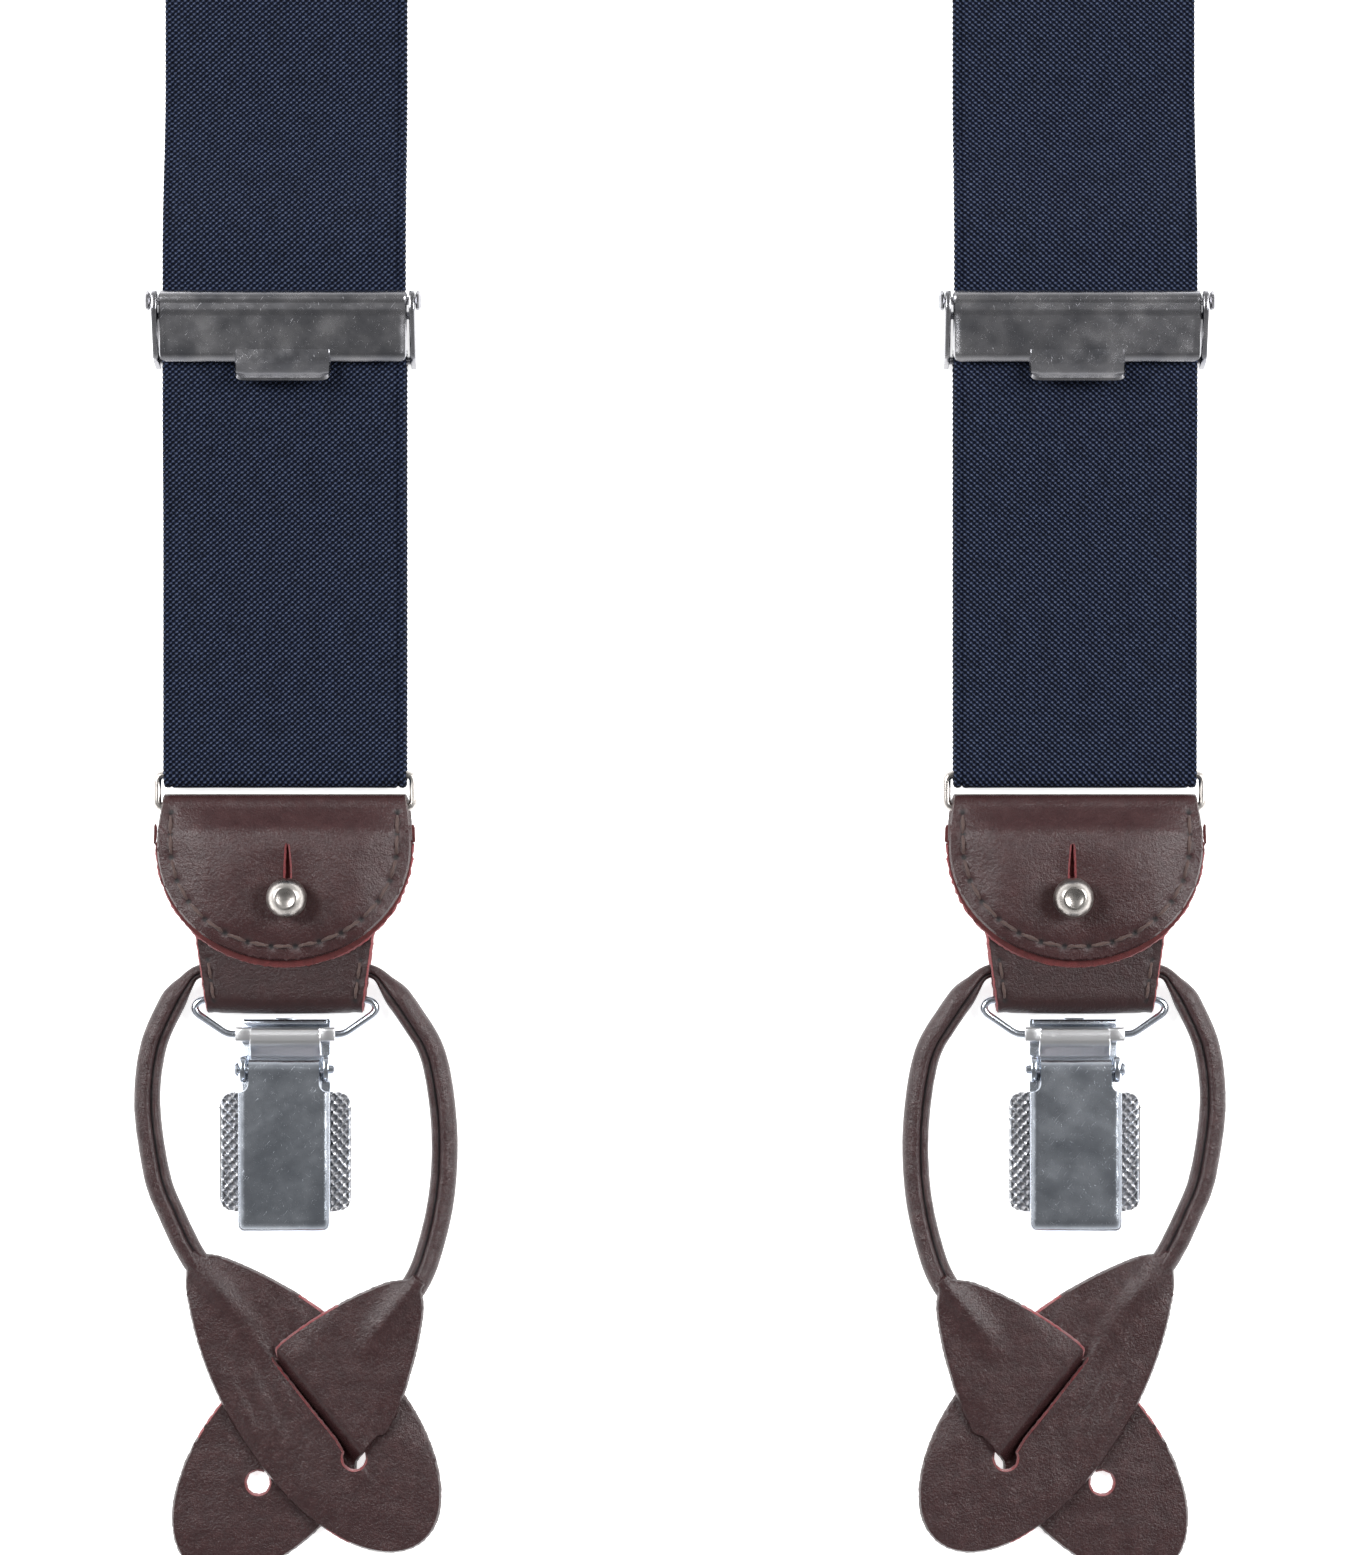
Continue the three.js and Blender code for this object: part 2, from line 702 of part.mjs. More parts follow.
// The lever: a plate with flanges bent down at its sides and two ears round the pin.
function clipLever() {
  const half = leverWidth / 2;
  const flange = 0.7;
  const flangeLow = 1.2;
  const flangeHigh = 0.8;
  const shoulderDrop = 1.4;
  const topCut = 0.4;
  const corner = 0.6;
  const earInset = 0.1;
  const earWide = 0.8;
  const earRun = 4;
  const narrow = cheekInner - gap;
  const wideTop = leverPinY - cheekHalfLength - gap - shoulderDrop;
  const z0 = leverTopZ - clipSheet;
  const jawTop = hangerFoldZ - earRadius + clipSheet;
  const outline = roundedPolygon([
    new THREE.Vector2(-half, leverBottom),
    new THREE.Vector2(half, leverBottom),
    new THREE.Vector2(half, wideTop),
    new THREE.Vector2(narrow, wideTop),
    new THREE.Vector2(narrow, leverPinY - topCut),
    new THREE.Vector2(-narrow, leverPinY - topCut),
    new THREE.Vector2(-narrow, wideTop),
    new THREE.Vector2(-half, wideTop),
  ], corner);
  const flanges = [-1, 1].map((sign) => {
    const a = sign * half;
    const b = sign * (half - flange);
    return box(Math.min(a, b), Math.max(a, b), leverBottom + flangeLow, wideTop - flangeHigh,
      jawTop + gap, z0 + flange / 2);
  });
  const ears = [-1, 1].map((sign) => {
    const a = sign * (narrow - earInset);
    const b = sign * (narrow - earInset - earWide);
    return joined(
      barX(Math.min(a, b), Math.max(a, b), leverPinY, leverPinZ, leverEarRadius, 12),
      box(Math.min(a, b), Math.max(a, b), leverPinY - earRun, leverPinY, leverPinZ, z0 + flange / 2),
    );
  });
  const lever = joined(plate(outline, z0, clipSheet, 3), ...flanges, ...ears);
  return cut(lever, barX(-boreReach, boreReach, leverPinY, leverPinZ, leverPinRadius + slip));
}

// ---------------------------------------------------------------- leather button end

const leafA = { x: -13.3, y: -67.5, heading: -51, z: 2.5 };
const leafB = { x: 18.9, y: -71.0, heading: -128.3, z: 4.2 };

const cordRoute = [
  [-14.0, -67.0, 2.2], [-16.5, -61.1, 1.95], [-18.6, -55.5, 1.95], [-20.0, -45.5, 1.95],
  [-19.2, -37.3, 1.95], [-16.8, -31.4, 2.1], [-14.6, -28.0, 2.35], [-12.2, -26.0, 2.35],
  [-6.0, -25.8, 2.35], [6.0, -25.8, 2.35], [12.2, -26.0, 2.35], [14.9, -28.2, 2.35],
  [18.2, -32.6, 2.1], [21.4, -38.5, 1.95], [22.9, -48.5, 1.95], [22.6, -58.0, 1.95],
  [20.9, -66.0, 1.95], [19.2, -70.6, 2.2],
];

function leafWidthAt(s) {
  if (s >= leafWidestAt) {
    const beyond = (s - leafWidestAt) / (leafLength - leafWidestAt);
    return 2 * leafHalfWidth * Math.sqrt(Math.max(0, 1 - beyond * beyond));
  }
  const short = 1 - Math.max(s, 0) / leafWidestAt;
  return 2 * (leafStem + (leafHalfWidth - leafStem) * (1 - short ** 2.2));
}

function leafDirection(leaf) {
  const angle = THREE.MathUtils.degToRad(leaf.heading);
  return new THREE.Vector3(Math.cos(angle), Math.sin(angle), 0);
}

// How far along leaf A its middle line meets that of leaf B.
function leafCrossing() {
  const a = leafDirection(leafA);
  const b = leafDirection(leafB);
  const dx = leafB.x - leafA.x;
  const dy = leafB.y - leafA.y;
  const turnOf = a.x * b.y - a.y * b.x;
  return { alongA: (dx * b.y - dy * b.x) / turnOf, alongB: (dx * a.y - dy * a.x) / turnOf };
}

// Places along a leaf: even steps to its widest point, then steps that follow its round end.
function leafSteps() {
  const steps = [-2];
  for (let i = 0; i < 13; i += 1) steps.push((leafWidestAt * i) / 13);
  for (let i = 0; i < 6; i += 1) {
    steps.push(leafWidestAt + (leafLength - leafWidestAt) * Math.sin((i / 6) * (Math.PI / 2)));
  }
  steps.push(leafLength - 0.1);
  return steps;
}

function leafStrip(leaf, heightAt, widthAt) {
  const along = leafDirection(leaf);
  const side = new THREE.Vector3(along.y, -along.x, 0);
  const stations = leafSteps().map((s) => {
    const at = new THREE.Vector3(leaf.x, leaf.y, heightAt(s)).addScaledVector(along, s);
    return { at, side, width: widthAt(s) };
  });
  return ribbon(stations, leafThickness);
}

function buttonhole(leaf) {
  const along = leafDirection(leaf);
  const x = leaf.x + along.x * buttonholeAt;
  const y = leaf.y + along.y * buttonholeAt;
  return post(x, y, -1, 10, buttonholeDiameter / 2, 12);
}

function leafSlot(leaf) {
  const length = buttonholeAt - slotStart;
  const slot = box(0, length, -slotWidth / 2, slotWidth / 2, -1, 10);
  const along = leafDirection(leaf);
  slot.translate(slotStart, 0, 0).rotateZ(Math.atan2(along.y, along.x));
  return slot.translate(leaf.x, leaf.y, 0);
}

// Where the hanger grips the cord it is rolled thinner, so that it turns freely there.
function pinchInHanger(geometry) {
  const grip = hangerWidth(cordY) / 2 + gap;
  const places = geometry.attributes.position;
  for (let i = 0; i < places.count; i += 1) {
    const out = THREE.MathUtils.smoothstep(Math.abs(places.getX(i)), grip, grip + 3);
    const keep = THREE.MathUtils.lerp(0.5, 1, out);
    places.setY(i, cordY + (places.getY(i) - cordY) * keep);
    places.setZ(i, hangerFoldZ + (places.getZ(i) - hangerFoldZ) * keep);
  }
  return geometry;
}

function rolledCord() {
  const curve = new THREE.CatmullRomCurve3(cordRoute.map((place) => new THREE.Vector3(...place)));
  return pinchInHanger(roundWire(curve.getSpacedPoints(36), cordDiameter / 2));
}

function braceEnd() {
  const cross = leafCrossing();
  const high = (s) => THREE.MathUtils.lerp(2.0, leafA.z, THREE.MathUtils.smoothstep(s, 0, 7));
  const dive = (s) => {
    const rising = THREE.MathUtils.lerp(2.0, leafB.z, THREE.MathUtils.smoothstep(s, 0, 7));
    const start = cross.alongB - diveRun / 2;
    const fallen = THREE.MathUtils.clamp((s - start) / diveRun, 0, 1);
    return THREE.MathUtils.lerp(rising, leafThickness / 2, fallen);
  };
  const squeezed = (s) => {
    const away = Math.abs(s - cross.alongB);
    const limit = 2 * (slotHalfSpan + Math.max(0, away - 0.7 * diveRun));
    return Math.min(leafWidthAt(s), limit);
  };
  const first = cut(leafStrip(leafA, high, leafWidthAt), leafSlot(leafA), buttonhole(leafA));
  const second = cut(leafStrip(leafB, dive, squeezed), buttonhole(leafB));
  return joined(rolledCord(), first, second);
}

// ---------------------------------------------------------------- assembly

// Everything that hangs from one strap, the ring included.
function strapEnd(prefix) {
  const group = new THREE.Group();
  group.add(
    piece(`${prefix}_ring`, ring(), nickel),
    piece(`${prefix}_tab_leather`, tabLeather(), brownLeather),
    piece(`${prefix}_tab_front_lining`, tabFrontLining(), redLeather),
    piece(`${prefix}_tab_back_lining`, tabBackLining(), redLeather),
    piece(`${prefix}_ball_stud`, ballStud(), nickel),
    piece(`${prefix}_stud_cap`, studCap(), nickel),
    piece(`${prefix}_hanger_leather`, hangerLeather(), brownLeather),
    piece(`${prefix}_clip_wire`, clipWireLoop(), steel),
    piece(`${prefix}_clip_jaw`, clipJaw(), steel),
    piece(`${prefix}_clip_back_plate`, clipBackPlate(), steel),
    piece(`${prefix}_clip_pin`, clipPin(), steel),
    piece(`${prefix}_clip_lever`, clipLever(), steel),
    piece(`${prefix}_brace_end`, braceEnd(), brownLeather),
  );
  return group;
}

function frontSide(prefix) {
  const group = strapEnd(prefix);
  group.add(
    piece(`${prefix}_strap`, frontStrap(), webbing),
    piece(`${prefix}_adjuster_frame`, adjusterFrame(), darkChrome),
    piece(`${prefix}_adjuster_pin`, adjusterPin(), darkChrome),
    piece(`${prefix}_adjuster_cover`, adjusterCover(), darkChrome),
  );
  return group;
}

const left = frontSide('left');
left.position.set(-frontSpacing / 2, 0, 0);

const right = frontSide('right');
right.position.set(frontSpacing / 2, 0, 0);
right.scale.x = -1;

const back = strapEnd('back');
back.add(piece('back_strap', backStrap(), webbing));
back.position.set(0, backRingY, 0);
back.rotation.z = Math.PI;

const suspenders = new THREE.Group();
suspenders.add(left, right, back, ...yokePieces());

// The origin is on the table at the middle of the whole.
const bounds = new THREE.Box3().setFromObject(suspenders, true);
suspenders.position.y = -(bounds.min.y + bounds.max.y) / 2;

export default suspenders;
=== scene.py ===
import math

import bmesh
import bpy
import numpy as np
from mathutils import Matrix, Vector
from mathutils.geometry import delaunay_2d_cdt


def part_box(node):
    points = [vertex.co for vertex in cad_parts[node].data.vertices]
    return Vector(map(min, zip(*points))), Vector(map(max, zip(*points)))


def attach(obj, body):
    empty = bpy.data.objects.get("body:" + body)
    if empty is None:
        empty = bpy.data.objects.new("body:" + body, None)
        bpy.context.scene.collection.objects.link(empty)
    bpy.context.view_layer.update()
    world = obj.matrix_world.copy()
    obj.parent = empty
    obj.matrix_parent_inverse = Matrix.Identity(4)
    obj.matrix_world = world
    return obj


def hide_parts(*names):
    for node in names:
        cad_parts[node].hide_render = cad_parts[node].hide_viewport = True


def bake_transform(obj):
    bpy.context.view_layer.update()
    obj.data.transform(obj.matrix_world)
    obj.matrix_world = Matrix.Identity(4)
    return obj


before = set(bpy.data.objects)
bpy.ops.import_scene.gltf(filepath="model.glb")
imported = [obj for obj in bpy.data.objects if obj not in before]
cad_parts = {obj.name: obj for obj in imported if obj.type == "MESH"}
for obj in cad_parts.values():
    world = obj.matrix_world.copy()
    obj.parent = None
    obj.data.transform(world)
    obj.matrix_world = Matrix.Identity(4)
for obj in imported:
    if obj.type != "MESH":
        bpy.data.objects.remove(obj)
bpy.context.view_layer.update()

# Everything below is in millimetres, in the frame of one end of the straps: u across, v up
# the strap and z up from the table, from the middle of that end's ring.
MM = 0.001
UP = np.array([0.0, 0.0, 1.0])
TURN = 2 * math.pi


# ---------------------------------------------------------------- frames


class End:
    """One end's own frame, placed by the CAD ring that carries the end's name."""

    def __init__(self, name, across, along):
        self.name = name
        low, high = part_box(f"{name}_ring")
        self.origin = np.array([(low.x + high.x) / 2, (low.y + high.y) / 2, 0.0])
        self.signs = np.array([across, along, 1.0])

    def world(self, points):
        return np.asarray(points, float) * self.signs * MM + self.origin

    def span(self, part):
        """Lowest and highest corner of one of this end's CAD nodes, in millimetres."""
        corners = [np.array(c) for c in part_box(f"{self.name}_{part}")]
        local = [(c - self.origin) * self.signs / MM for c in corners]
        return np.minimum(*local), np.maximum(*local)

    def body(self, part):
        return f"{self.name}_{part}"


LEFT = End("left", 1, 1)
RIGHT = End("right", -1, 1)
BACK = End("back", -1, -1)
FRONTS = (LEFT, RIGHT)
ENDS = (LEFT, RIGHT, BACK)
_, YOKE_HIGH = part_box("yoke_back_leather")


# ---------------------------------------------------------------- meshes


class Piece:
    """A mesh in the making. Each vertex has a flat place in millimetres for its weave or
    grain, and a depth from 0 to 1 that materials use to paint shade into holes and creases."""

    def __init__(self):
        self.points, self.flats, self.shade_depths = [], [], []
        self.faces, self.slots = [], []
        self.count = 0

    def add(self, points, faces, slot=0, flats=None, shade_depths=None):
        points = np.asarray(points, float)
        self.points.append(points)
        self.flats.append(points[:, :2] if flats is None else np.asarray(flats, float))
        self.shade_depths.append(np.zeros(len(points)) if shade_depths is None else shade_depths)
        self.faces += [tuple(int(i) + self.count for i in face) for face in faces]
        self.slots += list(slot) if hasattr(slot, "__len__") else [slot] * len(faces)
        self.count += len(points)

    def make(self, name, end, materials, sharp=40):
        points = np.concatenate(self.points)
        flats = np.concatenate(self.flats)
        mesh = bpy.data.meshes.new(name)
        mesh.from_pydata((end.world(points) if end else points * MM).tolist(), [], self.faces)
        mesh.polygons.foreach_set("material_index", self.slots)
        # painted shade: this attribute darkens holes, grooves and pits in the materials that read it
        depth = mesh.attributes.new("depth", "FLOAT", "POINT")
        depth.data.foreach_set("value", np.concatenate(self.shade_depths).astype(np.float32))
        shell = bmesh.new()
        shell.from_mesh(mesh)
        bmesh.ops.recalc_face_normals(shell, faces=shell.faces)
        shell.to_mesh(mesh)
        shell.free()
        corners = np.empty(len(mesh.loops), np.int32)
        mesh.loops.foreach_get("vertex_index", corners)
        layer = mesh.uv_layers.new(name="flat")
        layer.data.foreach_set("uv", flats[corners].astype(np.float32).ravel())
        mesh.polygons.foreach_set("use_smooth", [True] * len(mesh.polygons))
        mesh.set_sharp_from_angle(angle=math.radians(sharp))
        for material in materials:
            mesh.materials.append(material)
        thing = bpy.data.objects.new(name, mesh)
        bpy.context.scene.collection.objects.link(thing)
        return thing


def shown(piece, end, part, body, materials, nodes, sharp=40):
    """Makes the piece, lets it ride on its body and stand for its CAD nodes."""
    thing = piece.make(f"{end.name}_{part}_look", end, materials, sharp)
    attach(thing, end.body(body))
    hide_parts(*[end.body(node) for node in nodes])


def unit(v):
    v = np.asarray(v, float)
    return v / np.maximum(np.linalg.norm(v, axis=-1, keepdims=True), 1e-9)


def smooth(x, low, high):
    t = np.clip((np.asarray(x, float) - low) / (high - low), 0, 1)
    return t * t * (3 - 2 * t)


def bump_at(x, middle, width):
    return np.exp(-(((np.asarray(x, float) - middle) / width) ** 2))


def rough(x, y, size, seed=0.0):
    """Soft irregular waves from -1 to 1, the same each time."""
    a = np.sin(x / size * 2.1 + y / size * 1.3 + seed)
    b = np.sin(x / size * -1.7 + y / size * 2.9 + 2 * seed + 1)
    c = np.sin(x / size * 4.3 + y / size * 3.7 + 3 * seed + 2)
    return (a + b + 0.6 * c) / 2.6


def arc(a, b, radius, start, stop, steps):
    angles = np.radians(np.linspace(start, stop, steps + 1))
    return [[a + radius * math.cos(t), b + radius * math.sin(t)] for t in angles]


def lengths(points):
    steps = np.linalg.norm(np.diff(points, axis=0), axis=1)
    return np.concatenate([[0], np.cumsum(steps)])


def evenly(points, step, closed=False):
    """The same line with points about one step apart."""
    points = np.asarray(points, float)
    if closed:
        points = np.vstack([points, points[:1]])
    run = lengths(points)
    count = max(2, round(run[-1] / step)) + 1
    places = np.linspace(0, run[-1], count)
    line = np.stack([np.interp(places, run, column) for column in points.T], 1)
    return line[:-1] if closed else line


def softened(points, step, reach):
    """A line resampled at even steps with its corners rounded over that reach."""
    line = evenly(points, step)
    half = max(1, round(reach / step / 2))
    padded = np.vstack([
        2 * line[0] - line[half:0:-1],
        line,
        2 * line[-1] - line[-2 : -half - 2 : -1],
    ])
    window = np.hanning(2 * half + 3)[1:-1]
    window /= window.sum()
    return np.stack([np.convolve(column, window, "valid") for column in padded.T], 1)


def curve(points, step):
    """A smooth line through its points (Catmull-Rom)."""
    p = np.asarray(points, float)
    p = np.vstack([2 * p[0] - p[1], p, 2 * p[-1] - p[-2]])
    line = []
    for a, b, c, d in zip(p, p[1:], p[2:], p[3:]):
        for t in np.linspace(0, 1, 12, endpoint=False):
            line.append(0.5 * (2 * b + (c - a) * t + (2 * a - 5 * b + 4 * c - d) * t**2
                               + (3 * b - a - 3 * c + d) * t**3))
    return evenly([*line, p[-2]], step)


class Fold:
    """A path seen from the side, in v and z, that a flat sheet bends along. On its first
    stretch, distance along the sheet reads the same as v."""

    def __init__(self, points, reach=0.8, step=0.15):
        self.line = softened(points, step, reach)
        self.run = lengths(self.line) + points[0][0]
        across = np.gradient(self.line, axis=0)
        self.normal = unit(np.stack([-across[:, 1], across[:, 0]], 1))
        self.end = self.run[-1]

    def place(self, x, s):
        v, z, nv, nz = (np.interp(s, self.run, column) for column in
                        (*self.line.T, *self.normal.T))
        flat = np.zeros_like(v)
        return np.stack([np.asarray(x, float), v, z], 1), np.stack([flat, nv, nz], 1)


def inside(points, loop):
    x, y = points[:, 0:1], points[:, 1:2]
    x0, y0 = loop.T
    x1, y1 = np.roll(loop, -1, axis=0).T
    crosses = (y0 > y) != (y1 > y)
    at = (x1 - x0) * (y - y0) / np.where(y1 == y0, 1e-9, y1 - y0) + x0
    return (crosses & (x < at)).sum(1) % 2 == 1


def fill(outline, holes, step):
    """Points and triangles that fill a flat outline round its holes."""
    loops = [evenly(loop, min(step, 1.2 * step if i == 0 else 0.5 * step), True)
             for i, loop in enumerate([outline, *holes])]
    low, high = loops[0].min(0), loops[0].max(0)
    rows = np.arange(low[1], high[1], step * 0.87)
    grid = [np.stack([np.arange(low[0] + (i % 2) * step / 2, high[0], step),
                      np.full(len(np.arange(low[0] + (i % 2) * step / 2, high[0], step)), y)], 1)
            for i, y in enumerate(rows)]
    grid = np.concatenate(grid)
    keep = inside(grid, loops[0])
    for hole in loops[1:]:
        keep &= ~inside(grid, hole)
    grid = grid[keep]
    rim = np.concatenate(loops)
    near = np.array([np.min(np.sum((rim - p) ** 2, 1)) for p in grid])
    grid = grid[near > (0.6 * step) ** 2]
    points = [Vector(p) for p in np.concatenate([rim, grid]).tolist()]
    edges, start = [], 0
    for loop in loops:
        edges += [(start + i, start + (i + 1) % len(loop)) for i in range(len(loop))]
        start += len(loop)
    found, _, triangles, *_ = delaunay_2d_cdt(points, edges, [], 0, 1e-5)
    flat = np.array([tuple(p) for p in found])
    triangles = np.array(triangles)
    middle = flat[triangles].mean(1)
    keep = inside(middle, loops[0])
    for hole in loops[1:]:
        keep &= ~inside(middle, hole)
    return flat, triangles[keep]


def sheet(piece, outline, holes, step, place, half, slots=(0, 1, 2), top=None, depth=None,
          lip=0.25, fray=0.0):
    """Adds a sheet with a rounded raw edge. place gives each flat point its place and its
    normal, and top lifts the upper face alone."""
    flat, triangles = fill(outline, holes, step)
    edges = {}
    for a, b, c in triangles.tolist():
        for e in ((a, b), (b, c), (c, a)):
            edges[e] = edges.get(e, 0) + 1
    rim = [e for e in edges if (e[1], e[0]) not in edges]
    inward = np.zeros_like(flat)
    for a, b in rim:
        d = unit(flat[b] - flat[a])
        turned = np.array([-d[1], d[0]])
        inward[a] += turned
        inward[b] += turned
    inward = unit(inward) * (np.linalg.norm(inward, axis=1, keepdims=True) > 0.1)
    shifted = flat + inward * lip
    ragged = flat - inward * (fray * rough(flat[:, 0], flat[:, 1], 0.45, 1))[:, None]
    lift = 0 if top is None else top(*shifted.T)
    n = len(flat)
    middle, normal = place(*shifted.T)
    upper = middle + normal * np.reshape(half + lift, (-1, 1))
    lower = middle - normal * half
    side, _ = place(*ragged.T)
    rim_points = sorted({a for a, _ in rim} | {b for _, b in rim})
    order = {p: i for i, p in enumerate(rim_points)}
    points = np.concatenate([upper, lower, side[rim_points]])
    faces = [*triangles.tolist(), *(triangles[:, ::-1] + n).tolist()]
    kinds = [slots[0]] * len(triangles) + [slots[1]] * len(triangles)
    for a, b in rim:
        sa, sb = 2 * n + order[a], 2 * n + order[b]
        faces += [(b, a, sa, sb), (a + n, b + n, sb, sa)]
        kinds += [slots[2](*flat[a]) if callable(slots[2]) else slots[2]] * 2
    shade_depths = np.zeros(n) if depth is None else depth(*shifted.T)
    piece.add(points, faces, kinds, np.concatenate([shifted, shifted, flat[rim_points]]),
              np.concatenate([shade_depths, 0 * shade_depths, np.zeros(len(rim_points))]))


def sweep(piece, line, sides, ups, section, slot=0):
    """Adds a closed section carried along a line. section gives station i's loop of
    places across and up, and may give flat places and depths too."""
    points, flats, shade_depths = [], [], []
    run = lengths(line)
    for i, (at, side, up) in enumerate(zip(line, sides, ups)):
        loop = section(i)
        loop, depth = loop if isinstance(loop, tuple) else (loop, np.zeros(len(loop)))
        points.append(at + loop[:, :1] * side + loop[:, 1:] * up)
        flats.append(np.stack([loop[:, 0], np.full(len(loop), run[i])], 1))
        shade_depths.append(depth)
    size, last = len(points[0]), len(points)
    faces = []
    for i in range(last - 1):
        for k in range(size):
            a, b = i * size + k, i * size + (k + 1) % size
            c, d = (i + 1) * size + (k + 1) % size, (i + 1) * size + k
            faces.append((a, b, c, d))
    faces += [tuple(range(size)), tuple(range((last - 1) * size, last * size))[::-1]]
    piece.add(np.concatenate(points), faces, slot, np.concatenate(flats),
              np.concatenate(shade_depths))


def steady(line, up=UP):
    """Directions across and up for a line, kept level with the table."""
    along = unit(np.gradient(np.asarray(line, float), axis=0))
    side = unit(np.cross(along, up))
    return side, unit(np.cross(side, along))


def circle(radius, count):
    angles = np.arange(count) / count * TURN
    return radius * np.stack([np.cos(angles), np.sin(angles)], 1)


def wire(piece, line, radius, sides=14):
    across, up = steady(line)
    loop = circle(radius, sides)
    sweep(piece, line, across, up, lambda i: loop)


def lathe(piece, profile, centre, axis, steps=32):
    """Adds a turned piece: profile is a list of radius and distance along the axis."""
    axis = unit(axis)
    across = unit(np.cross(axis, [0.3, 1, 0.2]))
    other = np.cross(axis, across)
    points, faces = [], []
    for radius, along in profile:
        for angle in np.arange(steps) / steps * TURN:
            ring = across * math.cos(angle) + other * math.sin(angle)
            points.append(np.asarray(centre, float) + axis * along + ring * radius)
    for i in range(len(profile) - 1):
        for k in range(steps):
            a, b = i * steps + k, i * steps + (k + 1) % steps
            faces.append((a, b, b + steps, a + steps))
    faces += [tuple(range(steps)), tuple(range((len(profile) - 1) * steps, len(profile) * steps))]
    piece.add(points, faces)


def rod(piece, u0, u1, v, z, radius):
    """A round bar across the end, with softened edges."""
    edge = 0.15
    profile = [(radius - edge, 0), (radius, edge), (radius, u1 - u0 - edge),
               (radius - edge, u1 - u0)]
    lathe(piece, profile, (u0, v, z), (1, 0, 0), 20)


def prism(piece, outline, low, high, edge, axes=(0, 1, 2)):
    """Adds a plate with rounded edges. axes say which way the outline's x, its y and the
    thickness run."""
    shell = bmesh.new()
    rim = [shell.verts.new((x, y, low)) for x, y in outline]
    base = shell.faces.new(rim)
    lid = bmesh.ops.extrude_face_region(shell, geom=[base])["geom"]
    moved = [g for g in lid if isinstance(g, bmesh.types.BMVert)]
    bmesh.ops.translate(shell, verts=moved, vec=(0, 0, high - low))
    flat_edges = [e for e in shell.edges if abs(e.verts[0].co.z - e.verts[1].co.z) < 1e-6]
    bmesh.ops.bevel(shell, geom=flat_edges, offset=edge, segments=2, profile=0.5,
                    affect="EDGES")
    shell.verts.ensure_lookup_table()
    shell.verts.index_update()
    points = np.zeros((len(shell.verts), 3))
    for vert in shell.verts:
        points[vert.index][list(axes)] = vert.co
    piece.add(points, [[v.index for v in f.verts] for f in shell.faces])
    shell.free()


def rounded(corners, radius, steps=5):
    """An outline with its corners rounded off."""
    corners = np.asarray(corners, float)
    radii = radius if hasattr(radius, "__len__") else [radius] * len(corners)
    outline = []
    for i, (corner, r) in enumerate(zip(corners, radii)):
        enter = corner + unit(corners[i - 1] - corner) * r
        leave = corner + unit(corners[(i + 1) % len(corners)] - corner) * r
        for t in np.linspace(0, 1, steps + 1):
            outline.append((1 - t) ** 2 * enter + 2 * t * (1 - t) * corner + t * t * leave)
    return np.array(outline)


# ---------------------------------------------------------------- stitching


STITCH_PITCH = 3.45


def pricked(x, y, holes, width):
    """How deep in a stitch hole each flat point lies, from 0 to 1."""
    depth = np.zeros_like(np.asarray(x, float))
    for hx, hy in holes:
        depth = np.maximum(depth, np.exp(-(((x - hx) ** 2 + (y - hy) ** 2) / width**2)))
    return depth


def thread(piece, line, radius, slot, seed=0.0):
    """A length of two-ply thread: its section turns as it goes."""
    line = np.asarray(line, float)
    side, up = steady(line)
    run = lengths(line)
    angles = np.arange(10) / 10 * TURN

    def section(i):
        ply = 1 + 0.2 * np.cos(2 * (angles - run[i] / (2.2 * radius) - seed))
        return np.stack([radius * ply * np.cos(angles), radius * ply * np.sin(angles)], 1)

    sweep(piece, line, side, up, section, slot)


def stitches(piece, holes, place, height, slot, radius=0.27, closed=False):
    """Thread from hole to hole: each stitch dives at both ends."""
    pairs = list(zip(holes, holes[1:]))
    if closed:
        pairs.append((holes[-1], holes[0]))
    for count, (a, b) in enumerate(pairs):
        t = np.linspace(0, 1, 9)[:, None]
        flat = a + (b - a) * (0.12 + 0.76 * t)
        middle, normal = place(*flat.T)
        arch = radius * (0.55 - 2.6 * np.abs(2 * t - 1) ** 3)
        thread(piece, middle + normal * (height(*flat.T)[:, None] + arch), radius, slot, count)


# ---------------------------------------------------------------- materials


